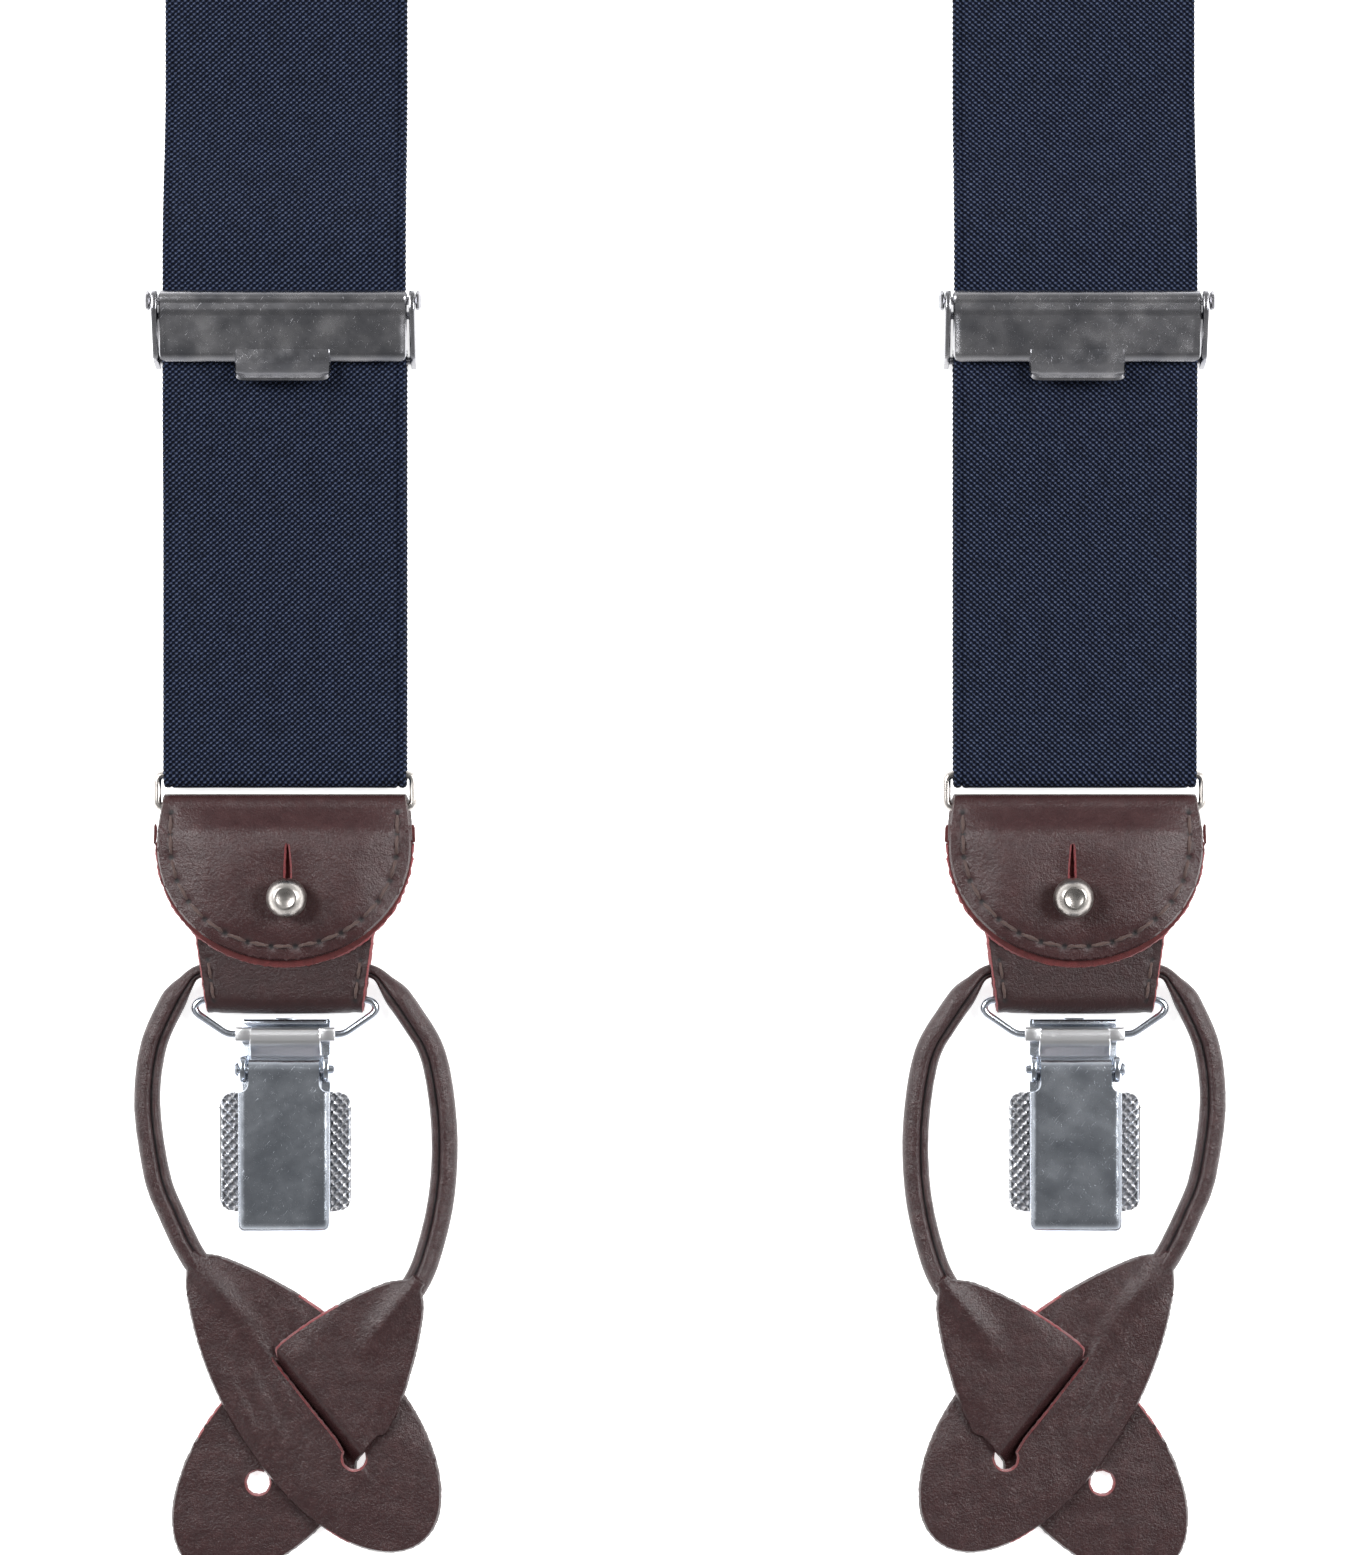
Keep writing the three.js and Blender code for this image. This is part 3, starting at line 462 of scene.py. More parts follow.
class Shader:
    """A material's nodes, made one at a time."""

    def __init__(self, name, **values):
        self.material = bpy.data.materials.new(name)
        self.material.use_nodes = True
        self.tree = self.material.node_tree
        self.main = self.tree.nodes["Principled BSDF"]
        for socket, value in values.items():
            self.main.inputs[socket.replace("_", " ")].default_value = value

    def node(self, kind, output=0, settings=(), **inputs):
        made = self.tree.nodes.new(kind)
        for key, value in dict(settings).items():
            setattr(made, key, value)
        for key, value in inputs.items():
            socket = made.inputs[int(key[1:]) if key[1:].isdigit() else key.replace("_", " ")]
            if isinstance(value, bpy.types.NodeSocket):
                self.tree.links.new(value, socket)
            else:
                socket.default_value = value
        return made.outputs[output]

    def math(self, operation, a, b=0.0):
        return self.node("ShaderNodeMath", 0, {"operation": operation}, i0=a, i1=b)

    def object(self, scale=1 / MM):
        where = self.node("ShaderNodeTexCoord", "Object")
        return self.node("ShaderNodeVectorMath", 0, {"operation": "SCALE"}, i0=where, Scale=scale)

    def flat(self):
        return self.node("ShaderNodeUVMap", 0, {"uv_map": "flat"})

    def noise(self, vector, scale, detail=3.0, roughness=0.5):
        return self.node("ShaderNodeTexNoise", "Fac", Vector=vector, Scale=scale,
                         Detail=detail, Roughness=roughness)

    def cells(self, vector, scale):
        return self.node("ShaderNodeTexVoronoi", "Distance", Vector=vector, Scale=scale)

    # The depth attribute, read to paint shade into holes, grooves and pits.
    def depth(self):
        return self.node("ShaderNodeAttribute", "Fac", {"attribute_name": "depth"})

    def spread(self, value, low, high, to_low=0.0, to_high=1.0):
        return self.node("ShaderNodeMapRange", 0, {"interpolation_type": "SMOOTHSTEP"},
                         Value=value, From_Min=low, From_Max=high, To_Min=to_low,
                         To_Max=to_high)

    def ramp(self, value, *stops):
        made = self.tree.nodes.new("ShaderNodeValToRGB")
        self.tree.links.new(value, made.inputs[0])
        elements = made.color_ramp.elements
        while len(elements) < len(stops):
            elements.new(0.5)
        for element, (at, color) in zip(elements, stops):
            element.position = at
            element.color = (*color, 1)
        return made.outputs[0]

    def mix(self, factor, a, b, blend="MIX"):
        made = self.tree.nodes.new("ShaderNodeMix")
        made.data_type = "RGBA"
        made.blend_type = blend
        for index, value in ((0, factor), (6, a), (7, b)):
            if isinstance(value, bpy.types.NodeSocket):
                self.tree.links.new(value, made.inputs[index])
            elif index:
                made.inputs[index].default_value = (*value, 1)
            else:
                made.inputs[index].default_value = value
        return made.outputs[2]

    def bump(self, height, distance):
        made = self.tree.nodes.new("ShaderNodeBump")
        made.inputs["Distance"].default_value = distance
        made.inputs["Strength"].default_value = 1.0
        self.tree.links.new(height, made.inputs["Height"])
        return made.outputs[0]

    def set(self, **sockets):
        for name, value in sockets.items():
            self.tree.links.new(value, self.main.inputs[name.replace("_", " ")])
        return self.material


def linear(red, green, blue):
    """A colour given from 0 to 255 as a screen shows it."""
    return tuple(((c / 255 + 0.055) / 1.055) ** 2.4 if c > 10 else c / 255 / 12.92
                 for c in (red, green, blue))


WEAVE_ACROSS, WEAVE_ROW = 0.9, 0.78


def webbing_material():
    """Dark blue webbing: raised oval loops in leaning rows; the colour follows their height, painting
    shade into the gaps and highlight onto the loop tops.
    """
    s = Shader("webbing", Roughness=0.85, Specular_IOR_Level=0.12)
    split = s.node("ShaderNodeSeparateXYZ", 0, Vector=s.flat()).node
    wander = s.noise(s.flat(), 1.3, 2)
    x = s.math("DIVIDE", split.outputs[0], WEAVE_ACROSS)
    x = s.math("ADD", x, s.math("MULTIPLY", wander, 0.5))
    y = s.math("DIVIDE", split.outputs[1], WEAVE_ROW)
    down = s.math("COSINE", s.math("MULTIPLY", s.math("ADD", x, y), TURN))
    back = s.math("COSINE", s.math("MULTIPLY", s.math("SUBTRACT", x, y), TURN))
    loops = s.math("ADD", s.math("MULTIPLY", down, 0.55), s.math("MULTIPLY", back, 0.4))
    fibre = s.noise(s.flat(), 7.0, 4, 0.7)
    height = s.math("ADD", loops, s.math("MULTIPLY", fibre, 1.1))
    # painted shade and highlight: the tone follows the weave's height, dark in the gaps and light on
    # the loops
    tone = s.spread(height, -0.2, 1.5)
    color = s.ramp(tone, (0.0, linear(0, 2, 12)), (0.4, linear(13, 20, 40)),
                   (0.7, linear(34, 43, 66)), (1.0, linear(74, 83, 104)))
    patches = s.spread(s.noise(s.flat(), 0.35, 3), 0.3, 0.7, 0.82, 1.12)
    color = s.mix(1.0, color, s.ramp(patches, (0.0, (0, 0, 0)), (1.0, (1, 1, 1))), "MULTIPLY")
    return s.set(Base_Color=color, Normal=s.bump(height, 0.2 * MM))


def leather_material(name, dark, mid, light, roughness):
    """Smooth brown leather with a fine pebble grain and creases; its stitch holes and grooves get
    painted shade.
    """
    s = Shader(name, Specular_IOR_Level=0.38)
    where = s.object()
    pebble = s.cells(where, 2.1)
    pores = s.noise(where, 5.0, 3, 0.6)
    folds = s.noise(where, 0.55, 4, 0.6)
    grain = s.math("SUBTRACT", s.math("MULTIPLY", pores, 0.8), s.math("MULTIPLY", pebble, 0.35))
    height = s.math("ADD", grain, s.math("MULTIPLY", folds, 0.8))
    tone = s.math("ADD", s.math("MULTIPLY", folds, 0.4), s.math("MULTIPLY", pores, 0.6))
    color = s.ramp(tone, (0.3, dark), (0.5, mid), (0.72, light))
    # painted shade: holes and grooves are darkened towards near black by their depth
    hole = s.depth()
    color = s.mix(s.spread(hole, 0.25, 0.8), color, linear(18, 12, 14))
    shine = s.math("ADD", s.spread(tone, 0.3, 0.7, roughness + 0.06, roughness - 0.05),
                   s.math("MULTIPLY", hole, 0.3))
    return s.set(Base_Color=color, Roughness=shine, Normal=s.bump(height, 0.11 * MM))


def raw_material(name, dark, light, fuzz):
    """Cut or suede leather: red-brown fibres."""
    s = Shader(name, Roughness=0.92, Specular_IOR_Level=0.15, Sheen_Weight=0.35,
               Sheen_Roughness=0.5)
    where = s.object()
    fibres = s.noise(where, 6.0, 5, 0.75)
    blotch = s.noise(where, 1.1, 3, 0.6)
    tone = s.math("ADD", s.math("MULTIPLY", fibres, 0.6), s.math("MULTIPLY", blotch, 0.4))
    color = s.ramp(tone, (0.32, dark), (0.68, light))
    return s.set(Base_Color=color, Normal=s.bump(fibres, fuzz * MM))


def thread_material():
    """Waxed brown thread with fine fibres."""
    s = Shader("thread", Roughness=0.6, Specular_IOR_Level=0.35, Sheen_Weight=0.2)
    fibres = s.noise(s.object(), 9.0, 3, 0.7)
    color = s.ramp(fibres, (0.3, linear(38, 25, 24)), (0.7, linear(88, 66, 60)))
    return s.set(Base_Color=color, Normal=s.bump(fibres, 0.06 * MM))


def metal_material(name, dark, light, rough_low, rough_high, scratch):
    """Worn plated metal: cloudy wear, fine specks and crossing scratches."""
    s = Shader(name, Metallic=1.0)
    where = s.object()
    clouds = s.noise(where, 0.22, 3, 0.5)
    specks = s.noise(where, 6.0, 3, 0.6)
    lines = []
    for turn, seed in ((0.5, 3.0), (-0.9, 11.0), (1.35, 23.0)):
        turned = s.node("ShaderNodeMapping", 0, Vector=where, Rotation=(0.2, 0.1, turn))
        drawn = s.node("ShaderNodeMapping", 0, Vector=turned, Location=(seed, 0, 0),
                       Scale=(0.3, 14.0, 5.0))
        lines.append(s.spread(s.noise(drawn, 1.0, 2, 0.5), 0.7, 0.76))
    scratches = s.math("MAXIMUM", s.math("MAXIMUM", lines[0], lines[1]), lines[2])
    tone = s.math("ADD", s.math("MULTIPLY", clouds, 0.75), s.math("MULTIPLY", specks, 0.25))
    color = s.ramp(tone, (0.34, dark), (0.66, light))
    color = s.mix(s.math("MULTIPLY", scratches, 0.4), color, light)
    rough_value = s.spread(tone, 0.3, 0.7, rough_low, rough_high)
    rough_value = s.math("ADD", rough_value, s.math("MULTIPLY", scratches, 0.12))
    height = s.math("ADD", s.math("MULTIPLY", specks, 0.5),
                    s.math("MULTIPLY", scratches, -scratch))
    return s.set(Base_Color=color, Roughness=rough_value, Normal=s.bump(height, 0.004 * MM))


def knurled_material():
    """The jaw's steel: ridges coloured lighter as painted highlight, pits coloured greyer as painted
    shade.
    """
    s = Shader("knurled_steel", Metallic=1.0)
    where = s.object()
    pits = s.depth()
    specks = s.noise(where, 5.0, 3, 0.6)
    # painted highlight on the ridges and painted shade in the pits, both from the pit depth
    color = s.ramp(s.math("ADD", pits, s.math("MULTIPLY", specks, 0.25)),
                   (0.2, linear(242, 242, 244)), (0.55, linear(196, 197, 200)),
                   (1.0, linear(128, 128, 132)))
    rough_value = s.spread(pits, 0.0, 1.0, 0.3, 0.55)
    return s.set(Base_Color=color, Roughness=rough_value, Normal=s.bump(specks, 0.02 * MM))


def floor_material():
    s = Shader("pale_floor", Roughness=0.9, Specular_IOR_Level=0.0, Emission_Strength=0.75,
               Emission_Color=(1, 1, 1, 1))
    tone = s.noise(s.object(1.0), 40.0, 2)
    return s.set(Base_Color=s.ramp(tone, (0.3, (0.93, 0.93, 0.93)), (0.7, (0.96, 0.96, 0.96))))


WEBBING = webbing_material()
LEATHER = leather_material("brown_leather", linear(38, 20, 21), linear(50, 29, 30),
                           linear(68, 46, 46), 0.27)
STRAP_LEATHER = leather_material("hanger_leather", linear(30, 14, 15), linear(39, 20, 21),
                                 linear(52, 31, 32), 0.32)
CORD_LEATHER = leather_material("cord_leather", linear(34, 18, 19), linear(47, 29, 30),
                                linear(72, 52, 52), 0.27)
SUEDE = raw_material("suede", linear(60, 26, 27), linear(100, 44, 44), 0.1)
RED_EDGE = raw_material("red_edge", linear(88, 24, 30), linear(148, 50, 54), 0.12)
THREAD = thread_material()
NICKEL = metal_material("nickel", linear(158, 153, 149), linear(206, 201, 196), 0.24, 0.34, 0.3)
DARK_CHROME = metal_material("dark_chrome", linear(138, 139, 145), linear(172, 171, 174),
                             0.22, 0.28, 0.5)
STEEL = metal_material("steel", linear(186, 193, 204), linear(212, 218, 227), 0.2, 0.26, 0.5)
KNURLED = knurled_material()
HIDES = [LEATHER, SUEDE, RED_EDGE, THREAD]


# ---------------------------------------------------------------- sizes read from the frame

RING_LOW, RING_HIGH = LEFT.span("ring")
RING_WIRE = RING_HIGH[2] - RING_LOW[2]
RING_Z = (RING_HIGH[2] + RING_LOW[2]) / 2
STRAP_BAR = RING_HIGH[1] - RING_WIRE / 2
TAB_BAR = RING_LOW[1] + RING_WIRE / 2
RING_SIDE = RING_HIGH[0] - RING_WIRE / 2
TAB_LOW, TAB_HIGH = LEFT.span("tab_leather")
LINING_LOW, LINING_HIGH = LEFT.span("tab_front_lining")
BACKING_LOW, BACKING_HIGH = LEFT.span("tab_back_lining")
BALL_LOW, BALL_HIGH = LEFT.span("ball_stud")
STUD = (BALL_LOW[:2] + BALL_HIGH[:2]) / 2
BALL = (BALL_HIGH[0] - BALL_LOW[0]) / 2
HANGER_LOW, HANGER_HIGH = LEFT.span("hanger_leather")
WIRE_LOW, WIRE_HIGH = LEFT.span("clip_wire")
JAW_LOW, JAW_HIGH = LEFT.span("clip_jaw")
_, PLATE_HIGH = LEFT.span("clip_back_plate")
PIN_LOW, PIN_HIGH = LEFT.span("clip_pin")
LEVER_LOW, LEVER_HIGH = LEFT.span("clip_lever")
COVER_LOW, COVER_HIGH = LEFT.span("adjuster_cover")
KNOB_LOW, KNOB_HIGH = LEFT.span("adjuster_pin")
_, FRAME_HIGH = LEFT.span("adjuster_frame")
PIN_V, PIN_Z = (PIN_LOW[1] + PIN_HIGH[1]) / 2, (PIN_LOW[2] + PIN_HIGH[2]) / 2
KNOB_V, KNOB_Z = (KNOB_LOW[1] + KNOB_HIGH[1]) / 2, (KNOB_LOW[2] + KNOB_HIGH[2]) / 2

STRAP_WIDTH = 35.2
STRAP = 1.1
HIDE = 1.1
LINING = 0.7
GAP = 0.3
STRAP_LOOP = RING_WIRE / 2 + GAP + STRAP / 2
TAB_LOOP = RING_WIRE / 2 + GAP + HIDE / 2


# ---------------------------------------------------------------- straps

STRAIGHT_LENGTH = 430
TURN_ANGLE = math.radians(10)
TURN_RADIUS = 260
YOKE_OVERLAP = 16
YOKE_LEATHER = 1.5
MIDDLE_GAP = 0.5


def strap_section(i):
    """Station i's outline: a flat selvage on the left, a ridge and a rolled, bumpy
    selvage on the right."""
    half, thick = STRAP_WIDTH / 2, STRAP / 2
    wave = math.cos(i * math.pi)
    bumpy = 0.13 * (1 - wave) / 2
    top = [
        (-half + 0.05 + 0.5 * bumpy, 0.0), (-half + 0.2 + 0.5 * bumpy, thick * 0.7),
        (-half + 0.5, thick * 0.92), (-half + 1.0, thick * 0.92), (-half + 1.2, thick * 0.62),
        (-half + 1.5, thick * 0.98), (-half + 4, thick), (-half + 8, thick * 0.96),
        (-half + 13, thick), (0, thick * 0.97), (half - 13, thick), (half - 8, thick * 0.96),
        (half - 4, thick), (half - 2.3, thick * 0.98), (half - 1.9, thick * 1.06),
        (half - 1.55, thick * 0.95), (half - 1.3, thick * 0.45),
        (half - 1.05, thick * (0.9 - bumpy)), (half - 0.6, thick * (1.04 - bumpy)),
        (half - 0.2 - bumpy, thick * 0.75), (half - bumpy, 0.0),
    ]
    under = [(x, -z) for x, z in top[-2:0:-1]]
    loop = np.array(top + under)
    grooves = bump_at(loop[:, 0], -half + 1.2, 0.16) + bump_at(loop[:, 0], half - 1.3, 0.2)
    return loop, grooves


def swept_strap(line, sides):
    line = np.asarray(line, float)
    along = unit(np.gradient(line, axis=0))
    ups = unit(np.cross(sides, along))
    piece = Piece()
    sweep(piece, line, sides, ups, strap_section)
    return piece


def upright(path, reach):
    """A strap's line in its own frame from a path in v and z."""
    path = softened(path, WEAVE_ROW / 2, reach)
    return np.stack([np.zeros(len(path)), path[:, 0], path[:, 1]], 1)


def strap_layout():
    """Where the slanting length ends, and how long it is."""
    spacing = (RIGHT.origin[0] - LEFT.origin[0]) / MM
    shift = TURN_RADIUS * (1 - math.cos(TURN_ANGLE))
    end_x = STRAP_WIDTH / 2 * math.cos(TURN_ANGLE) + MIDDLE_GAP
    slant = (spacing / 2 - end_x - shift) / math.sin(TURN_ANGLE)
    end_v = STRAIGHT_LENGTH + TURN_RADIUS * math.sin(TURN_ANGLE) + slant * math.cos(TURN_ANGLE)
    return np.array([shift + slant * math.sin(TURN_ANGLE), end_v]), slant


COVER_TOP = COVER_HIGH[1]
MAIN_Z = 4.85
UPPER_END = 66.0


def upper_strap_line():
    """From inside the yoke, slanting outwards, then straight down into the adjuster."""
    start, slant = strap_layout()
    down = np.array([-math.sin(TURN_ANGLE), -math.cos(TURN_ANGLE)])
    plan = [start, start + down * slant]
    plan += [[TURN_RADIUS * (1 - math.cos(a)), STRAIGHT_LENGTH + TURN_RADIUS * math.sin(a)]
             for a in np.linspace(TURN_ANGLE, 0, 9)[1:]]
    plan.append([0, UPPER_END])
    plan = evenly(plan, WEAVE_ROW / 2)
    v = plan[:, 1]
    in_yoke = YOKE_LEATHER + GAP + STRAP / 2
    far = start[1] - YOKE_OVERLAP
    z = STRAP / 2 + (in_yoke - STRAP / 2) * smooth(v, far - 20, far - 2)
    z += (MAIN_Z - STRAP / 2) * (1 - smooth(v, COVER_TOP + 6, COVER_TOP + 30))
    line = np.stack([plan[:, 0], v, z], 1)
    lean = TURN_ANGLE * smooth(v, STRAIGHT_LENGTH, STRAIGHT_LENGTH + TURN_RADIUS * math.sin(TURN_ANGLE))
    side = np.stack([np.cos(lean), -np.sin(lean), 0 * lean], 1)
    return line, side


LOWER_BAR = (62.2, 2.0)
LOWER_BAR_RADIUS = 0.6
SEWN_TAIL = 8.2


def lower_strap_line():
    """From under the cover, round the ring and up behind to the adjuster's lower bar."""
    bar_v, bar_z = LOWER_BAR
    rise = 16
    wrap = GAP + LOWER_BAR_RADIUS + STRAP / 2
    path = [
        [UPPER_END - 1, MAIN_Z], [bar_v - SEWN_TAIL - GAP, MAIN_Z],
        [bar_v - SEWN_TAIL - rise, RING_Z + STRAP_LOOP],
        *arc(STRAP_BAR, RING_Z, STRAP_LOOP, 90, 270, 10),
        [STRAP_BAR + rise, STRAP / 2],
        *arc(bar_v, bar_z, wrap, -90, 90, 10),
        [bar_v - SEWN_TAIL, bar_z + wrap],
    ]
    line = upright(path, 0.8)
    return line, np.tile([1.0, 0, 0], (len(line), 1))


def front_straps(end):
    line, side = upper_strap_line()
    upper = swept_strap(line, side).make(f"{end.name}_strap_upper", end, [WEBBING])
    end.body("adjuster")
    end.world([0, 400, 0])
    end.world([0, 90, 0])
    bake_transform(upper)
    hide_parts(end.body("strap"))
    line, side = lower_strap_line()
    lower = swept_strap(line, side).make(f"{end.name}_strap_lower", end, [WEBBING])
    end.body("adjuster")
    end.body("ring")
    end.world([0, 50, 0])
    end.world([0, 5, 0])
    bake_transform(lower)
    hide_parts(end.body("strap"))


def back_strap():
    top = (BACK.origin[1] / MM - YOKE_HIGH.y / MM)
    in_yoke = YOKE_LEATHER + GAP + STRAP / 2
    tail = 28
    path = [
        [top + YOKE_OVERLAP, in_yoke], [top - 2, in_yoke], [top - YOKE_OVERLAP, STRAP / 2],
        [1.7 * tail, STRAP / 2], [1.1 * tail, 1.5 * STRAP + GAP],
        *arc(STRAP_BAR, RING_Z, STRAP_LOOP, 90, 270, 10),
        [tail / 2, STRAP / 2], [tail, STRAP / 2],
    ]
    line = upright(path, 0.8)
    thing = swept_strap(line, np.tile([1.0, 0, 0], (len(line), 1)))
    thing = thing.make("back_strap_look", BACK, [WEBBING])
    BACK.world([0, top - 20, 0])
    BACK.world([0, 40, 0])
    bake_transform(thing)
    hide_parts("back_strap")


# ---------------------------------------------------------------- yoke


def yoke_leather(node, grain_up):
    """A leather plate over the straps' meeting, sewn all round near its edge."""
    low, high = (np.array(c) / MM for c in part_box(node))
    middle_z = (low[2] + high[2]) / 2
    half = (high[2] - low[2]) / 2
    narrow = STRAP_WIDTH / 2 + 3.5
    outline = rounded([[low[0], low[1]], [high[0], low[1]], [narrow, high[1]],
                       [-narrow, high[1]]], 6)
    inner = rounded([[low[0] + 3, low[1] + 2.4], [high[0] - 3, low[1] + 2.4],
                     [narrow - 2.6, high[1] - 2.4], [-narrow + 2.6, high[1] - 2.4]], 5)
    holes = evenly(inner, STITCH_PITCH, True)
    flip = 1 if grain_up else -1

    def place(x, y):
        at = np.stack([x, y, np.full(len(x), middle_z)], 1)
        return at, np.tile([0, 0, float(flip)], (len(x), 1))

    def top(x, y):
        return -0.3 * pricked(x, y, holes, 0.5) + 0.05 * rough(x, y, 5)

    piece = Piece()
    # the stitch holes' depth also paints shade into them
    sheet(piece, outline, [], 0.8, place, half - 0.05, top=top,
          depth=lambda x, y: pricked(x, y, holes, 0.5))
    stitches(piece, holes, place, lambda x, y: np.full(len(x), half - 0.05), 3, closed=True)
    thing = piece.make(f"{node}_look", None, HIDES)
    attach(thing, "root")
    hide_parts(node)


# ---------------------------------------------------------------- ring and adjuster


def ring(end):
    corner = 0.85
    right = RING_SIDE - corner
    outline = [
        [GAP / 2, STRAP_BAR],
        *arc(right, STRAP_BAR - corner, corner, 90, 0, 6),
        *arc(right, TAB_BAR + corner, corner, 0, -90, 6),
        *arc(-right, TAB_BAR + corner, corner, -90, -180, 6),
        *arc(-right, STRAP_BAR - corner, corner, 180, 90, 6),
        [-GAP / 2, STRAP_BAR],
    ]
    line = evenly([[x, y, RING_Z] for x, y in outline], 0.5)
    piece = Piece()
    wire(piece, line, RING_WIRE / 2)
    shown(piece, end, "ring", "ring", [NICKEL], ["ring"])


def adjuster_frame(end):
    """Two cheeks joined by a lower and an upper bar that the webbing runs round."""
    half = FRAME_HIGH[0]
    pin_v, pin_z = KNOB_V, KNOB_Z
    bar_v, bar_z = LOWER_BAR
    upper_bar_v = 68.6
    upper_bar_z = MAIN_Z - STRAP / 2 - GAP - LOWER_BAR_RADIUS
    plate = 0.8
    outline = rounded([[bar_v - 1.4, 0.4], [pin_v + 0.6, 0.4], [pin_v + 1.6, pin_z + 0.6],
                       [pin_v - 1.2, pin_z + 1.1], [bar_v - 0.2, MAIN_Z]], 1.0)
    piece = Piece()
    for side in (-1, 1):
        outer = side * half
        prism(piece, outline, min(outer, outer - side * plate), max(outer, outer - side * plate),
              0.18, axes=(1, 2, 0))
    reach = half - plate / 2
    rod(piece, -reach, reach, bar_v, bar_z, LOWER_BAR_RADIUS)
    rod(piece, -reach, reach, upper_bar_v, upper_bar_z, LOWER_BAR_RADIUS)
    shown(piece, end, "adjuster_frame", "adjuster", [DARK_CHROME],
          ["adjuster_frame"], 30)


def adjuster_pin(end):
    """A pin with a faceted knob at each side."""
    radius = (KNOB_HIGH[1] - KNOB_LOW[1]) / 2
    tip, knob, shaft = KNOB_HIGH[0], 0.8, 0.6
    piece = Piece()
    rod(piece, -tip + knob / 2, tip - knob / 2, KNOB_V, KNOB_Z, shaft)
    for side in (-1, 1):
        profile = [(radius - 0.35, 0), (radius, 0.22), (radius, 0.5), (radius - 0.4, knob)]
        lathe(piece, profile, (side * (tip - knob), KNOB_V, KNOB_Z), (side, 0, 0), 8)
    shown(piece, end, "adjuster_pin", "adjuster", [DARK_CHROME],
          ["adjuster_pin"], 25)


def adjuster_cover(end):
    """A bent plate with a bevelled top strip, rolled round its pin, and a thumb tongue."""
    half_width = COVER_HIGH[0]
    pin_v, pin_z = KNOB_V, KNOB_Z
    tongue_v = COVER_LOW[1]
    bottom, sheet_half, crown = 62.0, 0.4, pin_z + 0.75
    roll, barrel, tongue_width = 0.95, 1.15, 13.7
    path = Fold([[bottom - 0.05, crown - 1.35], [bottom + 0.5, crown - 0.55],
                 [pin_v - 1.5, crown], [pin_v - 0.2, crown - 0.1],
                 *arc(pin_v, pin_z, roll, 75, -60, 6)], 0.5, 0.1)
    outline = rounded([[-half_width, bottom - 0.05], [half_width, bottom - 0.05],
                       [half_width, path.end - 0.1], [-half_width, path.end - 0.1]],
                      [1.4, 1.4, 0.3, 0.3])
    step_at = pin_v - 1.35

    def top(x, s):
        rim = smooth(np.abs(x), half_width - 0.9, half_width - 0.35)
        rim = np.maximum(rim, 1 - smooth(s, bottom + 0.25, bottom + 0.8))
        bevel = smooth(s, step_at - 0.12, step_at + 0.12)
        return 0.1 * rim * (1 - bevel) + 0.16 * bevel + 0.02 * rough(x, s, 1.6)

    piece = Piece()
    sheet(piece, outline, [], 0.4, path.place, sheet_half, (0, 0, 0), top=top, lip=0.22)
    tongue = Fold([[tongue_v - 0.1, crown + 1.1], [tongue_v + 0.8, crown + 0.25],
                   [bottom - 0.6, crown - 0.3], [bottom + 1.6, crown - 0.35]], 0.6, 0.1)
    wide = tongue_width / 2
    shape = rounded([[-wide, tongue_v - 0.1], [wide, tongue_v - 0.1], [wide, tongue.end],
                     [-wide, tongue.end]], [1.5, 1.5, 0.3, 0.3])

    def curl(x, s):
        corner = smooth(np.abs(x), wide - 1.6, wide - 0.3) * (1 - smooth(s, tongue_v, tongue_v + 1.6))
        return 0.25 * corner + 0.02 * rough(x, s, 1.2)

    sheet(piece, shape, [], 0.3, tongue.place, sheet_half * 0.8, (0, 0, 0), top=curl, lip=0.2)
    rod(piece, -half_width + 0.1, half_width - 0.1, pin_v, pin_z, barrel)
    shown(piece, end, "adjuster_cover", "cover", [DARK_CHROME],
          ["adjuster_cover"], 50)


# ---------------------------------------------------------------- tab

SHOULDER = -8.0
STITCH_INSET = 2.0
TAB_HALF = TAB_HIGH[0]
MOON_STEPS = 40
MOON_SIDE = MOON_STEPS + 1


def stud_hole():
    """The outline of the round hole that the stud's shank comes through."""
    radius = 1.55
    return [[STUD[0] + radius * math.cos(a), STUD[1] + radius * math.sin(a)]
            for a in np.linspace(0, TURN, 25)[:-1]]


def half_moon(half, bottom, top, top_half=None):
    """A flap with a round lower end, from its left shoulder down, round and back up.
    Point MOON_SIDE is the first above the right shoulder."""
    top_half = half if top_half is None else top_half
    outline = [[-half, SHOULDER]]
    for angle in np.linspace(math.pi, TURN, MOON_STEPS + 1)[1:]:
        outline.append([half * math.cos(angle), SHOULDER + (SHOULDER - bottom) * math.sin(angle)])
    neck, corner, corner_in = -4.6, 0.8, 0.5
    right = [[half - 0.1, neck], [top_half, top - corner], [top_half - corner_in, top]]
    return outline + right + [[-x, y] for x, y in right[::-1]]


def tab_dome(x, v):
    """How the tab's front swells over what it covers and droops at its sides."""
    swell = 0.85 * (1 - (x / TAB_HALF) ** 2) * smooth(v, TAB_LOW[1] - 2, -17) * (1 - smooth(v, -9, -2))
    droop = 1.3 * smooth(np.abs(x), 10.5, TAB_HALF + 0.5) * (1 - smooth(v, -6, -1.5))
    foot = 0.7 * (1 - smooth(v, TAB_LOW[1] - 0.5, TAB_LOW[1] + 6))
    away = np.hypot(x - STUD[0], v - STUD[1])
    dimple = 0.9 * np.exp(-((away / 4.2) ** 2))
    humps = 0.35 * bump_at(np.hypot(x - 8.5, (v + 13) * 0.8), 0, 4.0)
    humps += 0.3 * bump_at(np.hypot(x + 7.5, (v + 12) * 0.8), 0, 3.6)
    return swell - droop - foot - dimple + humps + 0.07 * rough(x, v, 4.5, 2)


